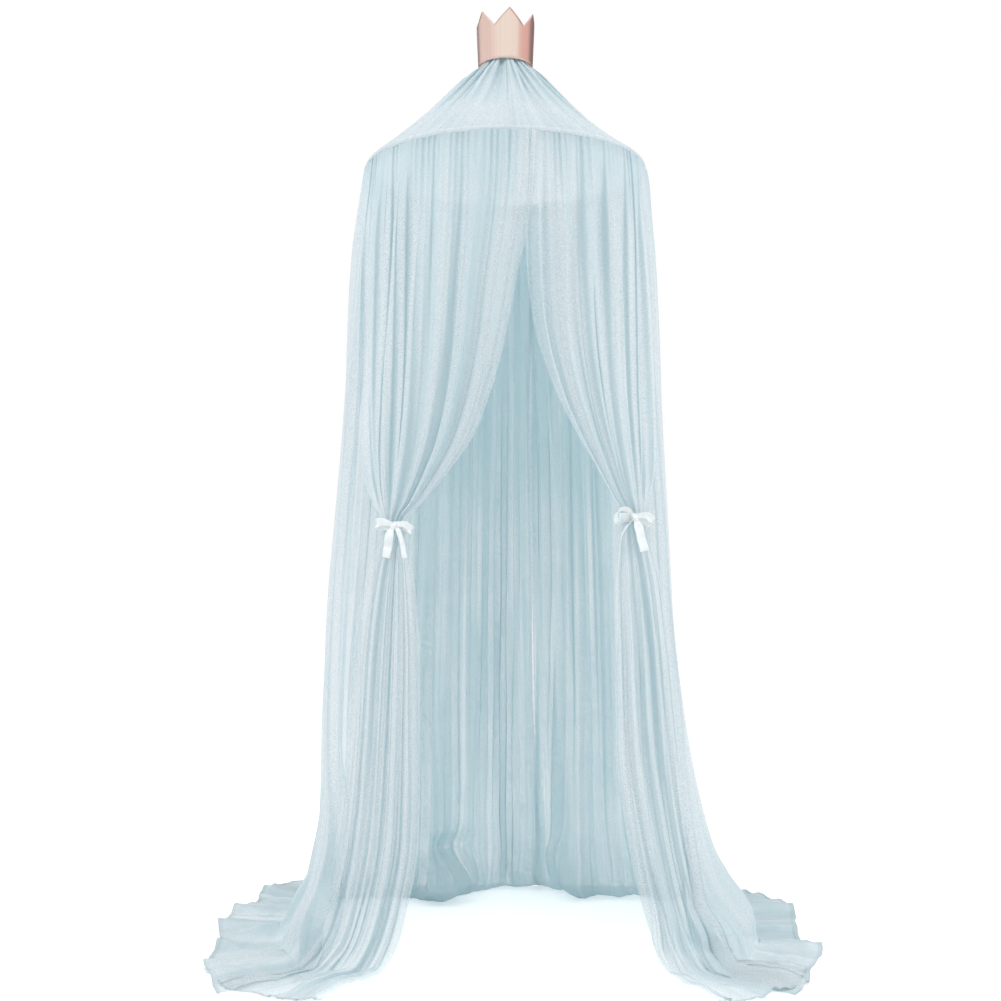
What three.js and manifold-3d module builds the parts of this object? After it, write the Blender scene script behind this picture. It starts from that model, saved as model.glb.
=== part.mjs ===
// Bed crown canopy: a net tent that hangs from a ceiling hook over a bed or a reading corner.
// Millimetres, +Z up, the doorway faces -Y. The origin is where the hook bears in the hanging ring.
// Heights are measured up from the floor. Angles run from the back (+Y) towards +X.

import * as THREE from 'three';
import { mergeVertices } from 'three/addons/utils/BufferGeometryUtils.js';
import Module from 'manifold-3d';

const wasm = await Module();
wasm.setup();

// How pieces meet
const SEAT_GAP = 0.3;
const SEAM_GAP = 0.6;
const CUT_OVERRUN = 2;
const MITER_LIMIT_SHARE = 0.4;
const WELD_GAP = 0.0001;

// Hanging ring: a welded steel ring of round wire
const RING_BORE = 30;
const RING_WIRE = 4;

// Hanging strap: narrow woven tape, looped through the ring
const STRAP_WIDTH = 8;
const STRAP_THICKNESS = 1.2;
const STRAP_RISE = 11;

// Hoop: four bent rods pushed into short ferrules
const HOOP_DIAMETER = 600;
const HOOP_HEIGHT = 1665;
const ROD_DIAMETER = 7;
const ROD_COUNT = 4;
const FERRULE_LENGTH = 50;
const FERRULE_WALL = 1;
const ROD_END_GAP = 1;

// Hoop casing: a tape folded round the hoop, its two edges sewn together below it
const CASING_WALL = 1;
const CASING_EASE = 0.6;
const CASING_FLANGE = 9;

// Net cloth, drawn as thick as the folded layers that the main folds stand for
const CLOTH_THICKNESS = 1.2;

// Roof: six gores gathered into a bound neck
const GORE_COUNT = 6;
const FOLDS_PER_GORE = 2;
const ROOF_RISE = 279;
const NECK_LENGTH = 13;
const ROOF_FOLD_DEPTH = 3.4;
const ROOF_FOLD_RISE_SHARE = 0.45;

// Neck binding: a tape wound round the gathered neck
const BINDING_WIDTH = 11;
const BINDING_THICKNESS = 1.5;
const BINDING_EASE = 0.35;

// Crown: a stiff foil-faced band with six points, lapped and riveted at the back
const CROWN_POINTS = 6;
const CROWN_RADIUS = 60;
const CROWN_FLARE = 4.5;
const CROWN_TIP_HEIGHT = 112;
const CROWN_VALLEY_HEIGHT = 76;
const CROWN_THICKNESS = 1.2;
const CROWN_LAP = 15;
const CROWN_TURN = -52;
const RIVET_HEAD = 7;
const RIVET_SHANK = 3;
const RIVET_DOME = 1.4;
const RIVET_INSET = 16;

// Curtain: four sewn widths round the back and sides
const CURTAIN_SPLIT_ANGLES = [-114, -52, 11, 58, 114];
const CURTAIN_NAMES = ['curtain_left_side', 'curtain_left_back', 'curtain_right_back', 'curtain_right_side'];
const FOLDS_PER_WIDTH = 4;
const BACK_BLEND_ANGLES = [20, 80];
const FRONT_BLEND_ANGLES = [105, 150];
const HANGING_FOLD_DEPTH = 11;
const FLOOR_FOLD_DEPTH = 5;

// Front panels: the two doorway edges lap at the top, the left one in front
const LEFT_EDGE_ANGLE = -191;
const RIGHT_EDGE_ANGLE = 174;
const PANEL_FOLDS = 5;
const LAP_STANDOFF = 8;
const LAP_FLAT_SHARE = 0.85;

// Ties: each panel is drawn back into a flat bundle at this place
const BUNDLE_WIDTH = 55;
const BUNDLE_FOLD_DEPTH = 8;
const BUNDLE_END_SHARE = 0.55;
const LEFT_TIE = { x: -230, y: -250, height: 876, turn: 21.5 };
const RIGHT_TIE = { x: 254.5, y: -250, height: 894, turn: 21.5 };

// Satin ribbon and its bow
const RIBBON_WIDTH = 18;
const RIBBON_THICKNESS = 0.8;
const KNOT_WIDTH = 15;
const KNOT_HEIGHT = 19;
const KNOT_DEPTH = 9;
const LOOP_LENGTH = 30;
const LOOP_DEPTH = 13;
const TAIL_LENGTH = 62;
const TAIL_SPREAD = 5;
const TAIL_STANDOFF = 5;
const KNOT_PINCH_SHARE = 0.45;
const LOOP_RISE_SHARE = 0.25;
// Rows: share of the loop's length, share of its depth
const LOOP_SHARES = [[0, -0.05], [0.35, -0.22], [0.8, -0.25], [1, 0.2], [0.85, 0.65], [0.4, 0.72], [0, 0.3]];
// Rows: share of the tail's length, of its spread and of its standoff
const TAIL_SHARES = [[0, 0.1, 0], [0.15, 0.35, 0.6], [0.35, 0.6, 0.9], [0.6, 0.8, 1], [1, 1, 1]];

const HOOP_RADIUS = HOOP_DIAMETER / 2;
const HALF_CLOTH = CLOTH_THICKNESS / 2;
const DEGREE = Math.PI / 180;

// Up from the hoop: the roof's neck, the middle of the ring's lowest wire, and the hook's seat
const neckFootHeight = HOOP_HEIGHT + ROOF_RISE;
const neckTopHeight = neckFootHeight + NECK_LENGTH;
const ringFootHeight = neckTopHeight + STRAP_RISE;
const hangHeight = ringFootHeight + RING_WIRE / 2 + RING_BORE;

// Height above the floor to z
const level = (height) => height - hangHeight;

// Point at an angle from the back, a distance from the axis and a height above the floor
function around(angle, radius, height) {
  const turn = angle * DEGREE;
  return new THREE.Vector3(radius * Math.sin(turn), radius * Math.cos(turn), level(height));
}

// Value at a place in a table of [place, value, ...] rows, eased between rows
function tableAt(table, place, column = 1) {
  const sign = Math.sign(table[table.length - 1][0] - table[0][0]);
  let row = 1;
  while (row < table.length - 1 && sign * (place - table[row][0]) > 0) row += 1;
  const [low, high] = [table[row - 1], table[row]];
  const share = THREE.MathUtils.clamp((place - low[0]) / (high[0] - low[0]), 0, 1);
  return THREE.MathUtils.lerp(low[column], high[column], share);
}

// Colours and finishes
function finish(color, roughness, metalness = 0) {
  return new THREE.MeshStandardMaterial({ color, roughness, metalness });
}
const FINISHES = {
  net: finish(0xcfe0e8, 0.85),
  tape: finish(0xdfe9ee, 0.8),
  foil: finish(0xe6bfb2, 0.32, 0.8),
  steel: finish(0xc9cbcd, 0.3, 1),
  rod: finish(0xe8e8e4, 0.5),
  ferrule: finish(0xd8d9d6, 0.45),
  satin: finish(0xf6f8fa, 0.35),
};

// Each piece is one named mesh
const canopy = new THREE.Group();
function addPiece(name, geometry, finishName) {
  const bare = geometry.clone();
  bare.deleteAttribute('normal');
  bare.deleteAttribute('uv');
  const mesh = new THREE.Mesh(mergeVertices(bare, WELD_GAP), FINISHES[finishName]);
  mesh.name = name;
  canopy.add(mesh);
  return mesh;
}

// A thin wall built on a grid of middle points. Its two faces stand half the thickness
// off the grid, mitred at the folds, and four rims close it.
function wallGeometry(columns, rows, thickness, middleAt) {
  const middle = [];
  for (let i = 0; i <= columns; i += 1) {
    middle.push([]);
    for (let j = 0; j <= rows; j += 1) middle[i].push(middleAt(i / columns, j / rows, i, j));
  }
  const at = (i, j) => middle[THREE.MathUtils.clamp(i, 0, columns)][THREE.MathUtils.clamp(j, 0, rows)];
  const offsetAt = (i, j) => {
    const down = at(i, j + 1).clone().sub(at(i, j - 1));
    const before = at(i, j).clone().sub(at(i - 1, j));
    const after = at(i + 1, j).clone().sub(at(i, j));
    const sides = [before, after].filter((side) => side.lengthSq() > 0);
    const faces = sides.map((side) => side.cross(down).normalize());
    const normal = faces.reduce((sum, face) => sum.add(face), new THREE.Vector3()).normalize();
    const miter = Math.max(normal.dot(faces[0]), MITER_LIMIT_SHARE);
    return normal.multiplyScalar(thickness / 2 / miter);
  };
  const positions = [];
  for (const side of [1, -1]) {
    for (let i = 0; i <= columns; i += 1) {
      for (let j = 0; j <= rows; j += 1) {
        positions.push(...at(i, j).clone().addScaledVector(offsetAt(i, j), side).toArray());
      }
    }
  }
  const front = (i, j) => i * (rows + 1) + j;
  const back = (i, j) => front(i, j) + (columns + 1) * (rows + 1);
  const index = [];
  const quad = (a, b, c, d) => index.push(a, b, c, a, c, d);
  for (let i = 0; i < columns; i += 1) {
    for (let j = 0; j < rows; j += 1) {
      quad(front(i, j), front(i + 1, j), front(i + 1, j + 1), front(i, j + 1));
      quad(back(i, j), back(i, j + 1), back(i + 1, j + 1), back(i + 1, j));
    }
    quad(front(i, 0), back(i, 0), back(i + 1, 0), front(i + 1, 0));
    quad(front(i + 1, rows), back(i + 1, rows), back(i, rows), front(i, rows));
  }
  for (let j = 0; j < rows; j += 1) {
    quad(front(0, j + 1), back(0, j + 1), back(0, j), front(0, j));
    quad(front(columns, j), back(columns, j), back(columns, j + 1), front(columns, j + 1));
  }
  const geometry = new THREE.BufferGeometry();
  geometry.setAttribute('position', new THREE.Float32BufferAttribute(positions, 3));
  geometry.setIndex(index);
  return geometry;
}

// Solids for cutting
function toSolid(geometry) {
  const bare = geometry.clone();
  bare.deleteAttribute('normal');
  bare.deleteAttribute('uv');
  const merged = mergeVertices(bare, WELD_GAP);
  const triVerts = new Uint32Array(merged.index.array);
  const vertProperties = new Float32Array(merged.attributes.position.array);
  return new wasm.Manifold(new wasm.Mesh({ numProp: 3, vertProperties, triVerts }));
}
function toGeometry(solid) {
  const cut = solid.getMesh();
  const geometry = new THREE.BufferGeometry();
  geometry.setAttribute('position', new THREE.BufferAttribute(cut.vertProperties, 3));
  geometry.setIndex(new THREE.BufferAttribute(cut.triVerts, 1));
  return geometry;
}

// Hanging ring, upright, with the hook's seat at the origin
const ringRadius = (RING_BORE + RING_WIRE) / 2;
{
  const ring = new THREE.TorusGeometry(ringRadius, RING_WIRE / 2, 8, 32);
  ring.rotateX(Math.PI / 2);
  ring.translate(0, 0, level(hangHeight - RING_BORE / 2));
  addPiece('hanging_ring', ring, 'steel');
}

// Hanging strap: an upside-down U over the ring's lowest wire, its legs inside the neck.
// The bend clears the wire where the ring's curve rises at the strap's edges.
const ringRise = ringRadius - Math.sqrt(ringRadius ** 2 - (STRAP_WIDTH / 2) ** 2);
const strapBend = RING_WIRE / 2 + ringRise + SEAT_GAP;
const strapFootHeight = neckFootHeight + NECK_LENGTH / 4;
const neckRadius = Math.hypot(STRAP_WIDTH / 2, strapBend + STRAP_THICKNESS) + SEAT_GAP + HALF_CLOTH;
{
  const legLength = ringFootHeight - strapFootHeight;
  const outline = new THREE.Shape();
  outline.moveTo(strapBend + STRAP_THICKNESS, -legLength);
  outline.absarc(0, 0, strapBend + STRAP_THICKNESS, 0, Math.PI, false);
  outline.lineTo(-strapBend - STRAP_THICKNESS, -legLength);
  outline.lineTo(-strapBend, -legLength);
  outline.absarc(0, 0, strapBend, Math.PI, 0, true);
  outline.lineTo(strapBend, -legLength);
  outline.closePath();
  const strapOptions = { depth: STRAP_WIDTH, bevelEnabled: false, curveSegments: 5 };
  const strap = new THREE.ExtrudeGeometry(outline, strapOptions);
  strap.translate(0, 0, -STRAP_WIDTH / 2);
  strap.rotateX(Math.PI / 2);
  strap.rotateZ(Math.PI / 2);
  strap.translate(0, 0, level(ringFootHeight));
  addPiece('hanging_strap', strap, 'tape');
}

// Hoop rods and the ferrules over their joints
class HoopArc extends THREE.Curve {
  constructor(startAngle, endAngle) {
    super();
    this.startAngle = startAngle;
    this.endAngle = endAngle;
  }

  getPoint(share) {
    return around(THREE.MathUtils.lerp(this.startAngle, this.endAngle, share), HOOP_RADIUS, HOOP_HEIGHT);
  }
}
const degreesAlong = (length, radius) => length / radius / DEGREE;
const ferruleRadius = ROD_DIAMETER / 2 + SEAT_GAP + FERRULE_WALL;
{
  const rodTurn = 360 / ROD_COUNT;
  const endTurn = degreesAlong(ROD_END_GAP / 2, HOOP_RADIUS);
  const ferruleTurn = degreesAlong(FERRULE_LENGTH / 2, HOOP_RADIUS);
  for (let k = 0; k < ROD_COUNT; k += 1) {
    const joint = (k + 1 / 2) * rodTurn;
    const rodSection = new THREE.Shape().absarc(0, 0, ROD_DIAMETER / 2, 0, 2 * Math.PI, false);
    const rodPath = new HoopArc(joint + endTurn, joint + rodTurn - endTurn);
    const rodOptions = { steps: 20, extrudePath: rodPath, curveSegments: 4 };
    addPiece(`hoop_rod_${k + 1}`, new THREE.ExtrudeGeometry(rodSection, rodOptions), 'rod');

    const ferruleSection = new THREE.Shape().absarc(0, 0, ferruleRadius, 0, 2 * Math.PI, false);
    const ferruleBore = ROD_DIAMETER / 2 + SEAT_GAP;
    ferruleSection.holes.push(new THREE.Path().absarc(0, 0, ferruleBore, 0, 2 * Math.PI, true));
    const ferrulePath = new HoopArc(joint - ferruleTurn, joint + ferruleTurn);
    const ferruleOptions = { steps: 3, extrudePath: ferrulePath, curveSegments: 6 };
    addPiece(`hoop_ferrule_${k + 1}`, new THREE.ExtrudeGeometry(ferruleSection, ferruleOptions), 'ferrule');
  }
}

// Hoop casing: a drop-shaped section, open between its two sewn edges
const casingBore = ferruleRadius + CASING_EASE;
const casingSides = 8;
const casingCorner = (clearRadius) => clearRadius / Math.cos(Math.PI / casingSides);
const casingRadius = casingCorner(casingBore + CASING_WALL);
const flangeHalf = CASING_WALL + SEAT_GAP;
{
  const steps = casingSides;
  const profile = [];
  const addArc = (radius, halfGap, forwards) => {
    const opening = Math.asin(halfGap / radius);
    for (let k = 0; k <= steps; k += 1) {
      const share = forwards ? k / steps : 1 - k / steps;
      const turn = -Math.PI / 2 + opening + share * (2 * Math.PI - 2 * opening);
      const reach = new THREE.Vector2(Math.cos(turn), Math.sin(turn)).multiplyScalar(radius);
      profile.push(reach.add(new THREE.Vector2(HOOP_RADIUS, level(HOOP_HEIGHT))));
    }
  };
  const flangeFoot = level(HOOP_HEIGHT - casingRadius - CASING_FLANGE);
  profile.push(new THREE.Vector2(HOOP_RADIUS + flangeHalf, flangeFoot));
  addArc(casingRadius, flangeHalf, true);
  profile.push(new THREE.Vector2(HOOP_RADIUS - flangeHalf, flangeFoot));
  profile.push(new THREE.Vector2(HOOP_RADIUS - SEAT_GAP, flangeFoot));
  addArc(casingCorner(casingBore), SEAT_GAP, false);
  profile.push(new THREE.Vector2(HOOP_RADIUS + SEAT_GAP, flangeFoot));
  profile.push(profile[0].clone());
  const casing = new THREE.LatheGeometry(profile, 60);
  casing.rotateX(Math.PI / 2);
  addPiece('hoop_casing', casing, 'tape');
}

// Roof line: down the bound neck, then straight out to where it lies on the casing
const roofSlope = Math.atan2(neckFootHeight - HOOP_HEIGHT, HOOP_RADIUS - neckRadius);
const roofFacet = (radius) => radius * (1 - Math.cos(Math.PI / (4 * FOLDS_PER_GORE * GORE_COUNT)));
const casingSeat = casingRadius + SEAT_GAP + HALF_CLOTH + roofFacet(HOOP_RADIUS) * Math.sin(roofSlope);
const roofEdgeRadius = HOOP_RADIUS + casingSeat * Math.sin(roofSlope);
const roofEdgeHeight = HOOP_HEIGHT + casingSeat * Math.cos(roofSlope);
const roofFoldDepth = (share) => ROOF_FOLD_DEPTH * Math.sin(Math.PI * share ** ROOF_FOLD_RISE_SHARE);
const roofHeightAt = (radius) => {
  const share = (radius - neckRadius) / (roofEdgeRadius - neckRadius);
  return THREE.MathUtils.lerp(neckFootHeight, roofEdgeHeight, share);
};
{
  const rowShares = [0, 0.1, 0.24, 0.45, 0.72, 1];
  const goreTurn = 360 / GORE_COUNT;
  const rows = rowShares.length;
  for (let k = 0; k < GORE_COUNT; k += 1) {
    const startAngle = k * goreTurn;
    const gore = wallGeometry(4 * FOLDS_PER_GORE, rows, CLOTH_THICKNESS, (u, v, i, j) => {
      const share = j === 0 ? 0 : rowShares[j - 1];
      const radius = THREE.MathUtils.lerp(neckRadius, roofEdgeRadius, share);
      const fold = roofFoldDepth(share) * Math.sin(2 * Math.PI * FOLDS_PER_GORE * u);
      const seam = degreesAlong(SEAM_GAP / 2, radius);
      const angle = THREE.MathUtils.lerp(startAngle + seam, startAngle + goreTurn - seam, u);
      const reach = radius + fold * Math.sin(roofSlope);
      const slopeHeight = roofHeightAt(radius) + fold * Math.cos(roofSlope);
      const height = j === 0 ? neckTopHeight : slopeHeight;
      return around(-angle, reach, height);
    });
    addPiece(`roof_gore_${k + 1}`, gore, 'net');
  }
}

// Neck binding
{
  const inside = neckRadius + HALF_CLOTH + BINDING_EASE;
  const foot = level(neckTopHeight - BINDING_WIDTH);
  const outside = inside + BINDING_THICKNESS;
  const bulge = outside + BINDING_THICKNESS / 4;
  const profile = [
    new THREE.Vector2(inside, foot),
    new THREE.Vector2(outside, foot),
    new THREE.Vector2(bulge, foot + BINDING_WIDTH / 2),
    new THREE.Vector2(outside, foot + BINDING_WIDTH),
    new THREE.Vector2(inside, foot + BINDING_WIDTH),
    new THREE.Vector2(inside, foot),
  ];
  const binding = new THREE.LatheGeometry(profile, 24);
  binding.rotateX(Math.PI / 2);
  addPiece('neck_binding', binding, 'tape');
}

// Crown: it stands on the crests of the roof's folds
const crownInside = CROWN_RADIUS - CROWN_THICKNESS / 2;
const crownSeatShare = (crownInside - neckRadius) / (roofEdgeRadius - neckRadius);
const crownSeatLift = (roofFoldDepth(crownSeatShare) + HALF_CLOTH) / Math.cos(roofSlope);
const CROWN_RIM_HEIGHT = roofHeightAt(crownInside) + crownSeatLift + SEAT_GAP;
const crownRadiusAt = (rise) => CROWN_RADIUS + CROWN_FLARE * (rise / CROWN_TIP_HEIGHT);
{
  const columnsPerPoint = 8;
  const lapTurn = degreesAlong(CROWN_LAP, CROWN_RADIUS);
  const pointTurn = 360 / CROWN_POINTS;
  const columns = columnsPerPoint * CROWN_POINTS;
  const lapColumns = Math.ceil(lapTurn / (360 / columns));
  const stepOut = CROWN_THICKNESS + SEAT_GAP;
  const endRise = lapTurn + pointTurn / columnsPerPoint;
  const band = wallGeometry(columns + lapColumns, 2, CROWN_THICKNESS, (u, v, i) => {
    const turn = i <= columns ? (i / columns) * 360 : 360 + ((i - columns) / lapColumns) * lapTurn;
    const angle = turn - lapTurn / 2;
    const fromTip = Math.abs(((angle - CROWN_TURN + pointTurn * CROWN_POINTS) / pointTurn) % 1);
    const toTip = Math.abs(2 * fromTip - 1);
    const top = THREE.MathUtils.lerp(CROWN_VALLEY_HEIGHT, CROWN_TIP_HEIGHT, toTip);
    const rise = top * (1 - v);
    const stepShare = THREE.MathUtils.smoothstep(turn, 360 - endRise, 360 - pointTurn / columnsPerPoint);
    const outward = stepOut * stepShare;
    return around(-angle, crownRadiusAt(rise) + outward, CROWN_RIM_HEIGHT + rise);
  });
  const wall = toSolid(band);
  const holes = [];
  const rivetRises = [RIVET_INSET, CROWN_VALLEY_HEIGHT - RIVET_INSET];
  rivetRises.forEach((rise, k) => {
    const middle = crownRadiusAt(rise) + stepOut / 2;
    const place = (shape) => {
      shape.rotateX(-Math.atan2(CROWN_FLARE, CROWN_TIP_HEIGHT));
      shape.translate(0, middle, level(CROWN_RIM_HEIGHT + rise));
      return shape;
    };
    const grip = CROWN_THICKNESS + stepOut / 2 + SEAT_GAP;
    const shank = RIVET_SHANK / 2;
    const head = RIVET_HEAD / 2;
    const rim = RIVET_DOME / 4;
    const profile = [
      new THREE.Vector2(0, -grip - RIVET_DOME),
      new THREE.Vector2(head * Math.SQRT1_2, -grip - RIVET_DOME + rim),
      new THREE.Vector2(head, -grip - rim),
      new THREE.Vector2(head, -grip),
      new THREE.Vector2(shank, -grip),
      new THREE.Vector2(shank, grip),
      new THREE.Vector2(head, grip),
      new THREE.Vector2(head, grip + rim),
      new THREE.Vector2(head * Math.SQRT1_2, grip + RIVET_DOME - rim),
      new THREE.Vector2(0, grip + RIVET_DOME),
    ];
    const rivet = new THREE.LatheGeometry(profile, 12);
    addPiece(`crown_rivet_${k + 1}`, place(rivet), 'foil');
    const drillRadius = shank + SEAT_GAP;
    const drill = new THREE.CylinderGeometry(drillRadius, drillRadius, 2 * (grip + CUT_OVERRUN), 16);
    holes.push(toSolid(place(drill)));
  });
  const drilled = holes.reduce((solid, hole) => solid.subtract(hole), wall);
  addPiece('crown_band', toGeometry(drilled), 'foil');
}

// Curtain outline. Each row: share of the hoop's height, then the reach of the fold crests
// as a share of the hoop's radius at the left side, the back, the right side and the front.
const OUTLINE_SHARES = [
  [1, 1.03, 1.03, 1.03, 1.03],
  [0.973, 1.06, 1.055, 1.06, 1.055],
  [0.895, 1.113, 1.07, 1.08, 1.075],
  [0.697, 1.167, 1.13, 1.113, 1.09],
  [0.54, 1.212, 1.17, 1.167, 1.11],
  [0.432, 1.277, 1.2, 1.193, 1.12],
  [0.306, 1.333, 1.23, 1.273, 1.14],
  [0.174, 1.38, 1.255, 1.4, 1.16],
  [0.085, 1.44, 1.27, 1.56, 1.18],
  [0.03, 1.58, 1.3, 1.75, 1.2],
];
const FOLD_DEPTH_SHARES = [[1, 0.16], [0.973, 0.4], [0.895, 0.8], [0.697, 1], [0.174, 1.15], [0.03, 0.7]];

// Reach of the hem on the floor as a share of the hoop's radius, by angle from the back
const HEM_REACH_SHARES = [
  [-114, 2.16], [-95, 2.05], [-80, 2.17], [-64, 2.24], [-50, 2.34], [-38, 1.95], [-20, 1.62],
  [0, 1.55], [20, 1.6], [36, 1.85], [50, 2.31], [66, 2.33], [82, 2.17], [95, 2.2], [114, 2.22],
];

const curtainTopHeight = HOOP_HEIGHT - casingRadius - SEAT_GAP;
const topFoldDepth = HANGING_FOLD_DEPTH * FOLD_DEPTH_SHARES[0][1];
const panelFacet = HOOP_RADIUS * (1 - Math.cos((Math.PI / 4) / (4 * PANEL_FOLDS)));
const curtainTopRadius = HOOP_RADIUS + flangeHalf + SEAT_GAP + HALF_CLOTH + topFoldDepth + panelFacet;
const floorHeight = FLOOR_FOLD_DEPTH + CLOTH_THICKNESS;

function foldDepthAt(height) {
  return HANGING_FOLD_DEPTH * tableAt(FOLD_DEPTH_SHARES, height / HOOP_HEIGHT);
}

// Middle of the folds of the freely hanging cloth
function hangingRadius(angle, height) {
  const place = height / HOOP_HEIGHT;
  const turned = Math.abs(angle) > 180 ? 360 - Math.abs(angle) : Math.abs(angle);
  const leftSide = (angle < 0) !== (Math.abs(angle) > 180);
  const side = tableAt(OUTLINE_SHARES, place, leftSide ? 1 : 3);
  const backShare = 1 - THREE.MathUtils.smoothstep(turned, ...BACK_BLEND_ANGLES);
  const frontShare = THREE.MathUtils.smoothstep(turned, ...FRONT_BLEND_ANGLES);
  const sideShare = 1 - backShare - frontShare;
  const back = tableAt(OUTLINE_SHARES, place, 2);
  const front = tableAt(OUTLINE_SHARES, place, 4);
  const crest = HOOP_RADIUS * (sideShare * side + backShare * back + frontShare * front);
  const nearTop = THREE.MathUtils.smoothstep(place, OUTLINE_SHARES[1][0], 1);
  return THREE.MathUtils.lerp(crest - foldDepthAt(height), curtainTopRadius, nearTop);
}

// Curtain widths: down from the casing, then a soft bend and out along the floor
{
  const heightShares = [1, 0.973, 0.93, 0.84, 0.7, 0.54, 0.4, 0.27, 0.16, 0.08, 0.032];
  const floorShares = [0.35, 1];
  const rows = heightShares.length + floorShares.length - 1;
  CURTAIN_NAMES.forEach((name, k) => {
    const [startAngle, endAngle] = [CURTAIN_SPLIT_ANGLES[k], CURTAIN_SPLIT_ANGLES[k + 1]];
    const middleAt = (u, j) => {
      const seam = degreesAlong(SEAM_GAP / 2, curtainTopRadius);
      const angle = THREE.MathUtils.lerp(endAngle - seam, startAngle + seam, u);
      if (j < heightShares.length) {
        const height = heightShares[j] === 1 ? curtainTopHeight : heightShares[j] * HOOP_HEIGHT;
        return { angle, radius: hangingRadius(angle, height), height, depth: foldDepthAt(height) };
      }
      const foot = hangingRadius(angle, heightShares[heightShares.length - 1] * HOOP_HEIGHT);
      const hem = HOOP_RADIUS * tableAt(HEM_REACH_SHARES, angle);
      const radius = THREE.MathUtils.lerp(foot, hem, floorShares[j - heightShares.length]);
      return { angle, radius, height: floorHeight, depth: FLOOR_FOLD_DEPTH };
    };
    const width = wallGeometry(4 * FOLDS_PER_WIDTH, rows, CLOTH_THICKNESS, (u, v, i, j) => {
      const here = middleAt(u, j);
      const before = middleAt(u, Math.max(j - 1, 0));
      const after = middleAt(u, Math.min(j + 1, rows));
      const run = new THREE.Vector2(after.radius - before.radius, after.height - before.height).normalize();
      const fold = here.depth * Math.sin(2 * Math.PI * FOLDS_PER_WIDTH * u);
      return around(here.angle, here.radius - run.y * fold, here.height + run.x * fold);
    });
    addPiece(name, width, 'net');
  });
}

// Ties: the bundle's middle, its direction from the outer to the inner side, and outward
function tieFrame(tie) {
  const turn = tie.turn * DEGREE;
  const inner = -Math.sign(tie.x);
  const along = new THREE.Vector3(inner * Math.cos(turn), -Math.sin(turn), 0);
  const outward = new THREE.Vector3(-inner * Math.sin(turn), -Math.cos(turn), 0);
  const middle = new THREE.Vector3(tie.x, tie.y, level(tie.height));
  return { along, outward, middle };
}

// Front panels below the tie. Each row: share of the tie's height, the outer and inner sides'
// x and y and the bow between them as shares of the hoop's radius, and the fold depth as a
// share of the hanging folds' depth. The last three rows lie on the floor.
const LEFT_SPREAD_SHARES = [
  [0.93, -0.9, -0.77, -0.635, -0.885, 0.02, 0.75],
  [0.86, -0.963, -0.72, -0.6, -0.907, 0.04, 0.8],
  [0.71, -1.04, -0.683, -0.563, -0.917, 0.07, 0.95],
  [0.5, -1.083, -0.65, -0.558, -0.917, 0.09, 1],
  [0.3, -1.15, -0.633, -0.567, -0.9, 0.1, 1],
  [0.13, -1.267, -0.667, -0.65, -0.873, 0.11, 0.9],
  [0.05, -1.367, -0.717, -0.717, -0.883, 0.13, 0.7],
  [0, -1.483, -0.783, -0.8, -0.97, 0.15, 0],
  [0, -1.717, -0.9, -0.95, -1.233, 0.18, 0],
  [0, -1.95, -1.017, -1.083, -1.54, 0.2, 0],
];
const RIGHT_SPREAD_SHARES = [
  [0.93, 0.985, -0.77, 0.745, -0.88, 0.02, 0.75],
  [0.86, 1.04, -0.717, 0.72, -0.9, 0.04, 0.8],
  [0.71, 1.093, -0.683, 0.715, -0.917, 0.07, 0.95],
  [0.5, 1.15, -0.667, 0.715, -0.917, 0.09, 1],
  [0.3, 1.217, -0.65, 0.793, -0.9, 0.1, 1],
  [0.13, 1.35, -0.697, 0.9, -0.873, 0.11, 0.9],
  [0.05, 1.45, -0.747, 0.97, -0.9, 0.13, 0.7],
  [0, 1.567, -0.807, 1.04, -1, 0.15, 0],
  [0, 1.8, -0.92, 1.15, -1.283, 0.17, 0],
  [0, 2.033, -1.037, 1.283, -1.583, 0.18, 0],
];
const DROP_SHARES = [1, 0.965, 0.88, 0.76, 0.62, 0.48, 0.34, 0.21, 0.12, 0.05, 0];

// Share of the way from hanging free to lying in the tied bundle. The doorway edge swings
// in early and the outer side late.
const EARLY_SWING_SHARE = 0.72;
function pullShare(u, drop) {
  const down = 1 - drop;
  const innerPull = EARLY_SWING_SHARE * down ** 2 + (1 - EARLY_SWING_SHARE) * down ** 9;
  const outerPull = down ** 6;
  return THREE.MathUtils.lerp(outerPull, innerPull, u);
}

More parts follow.
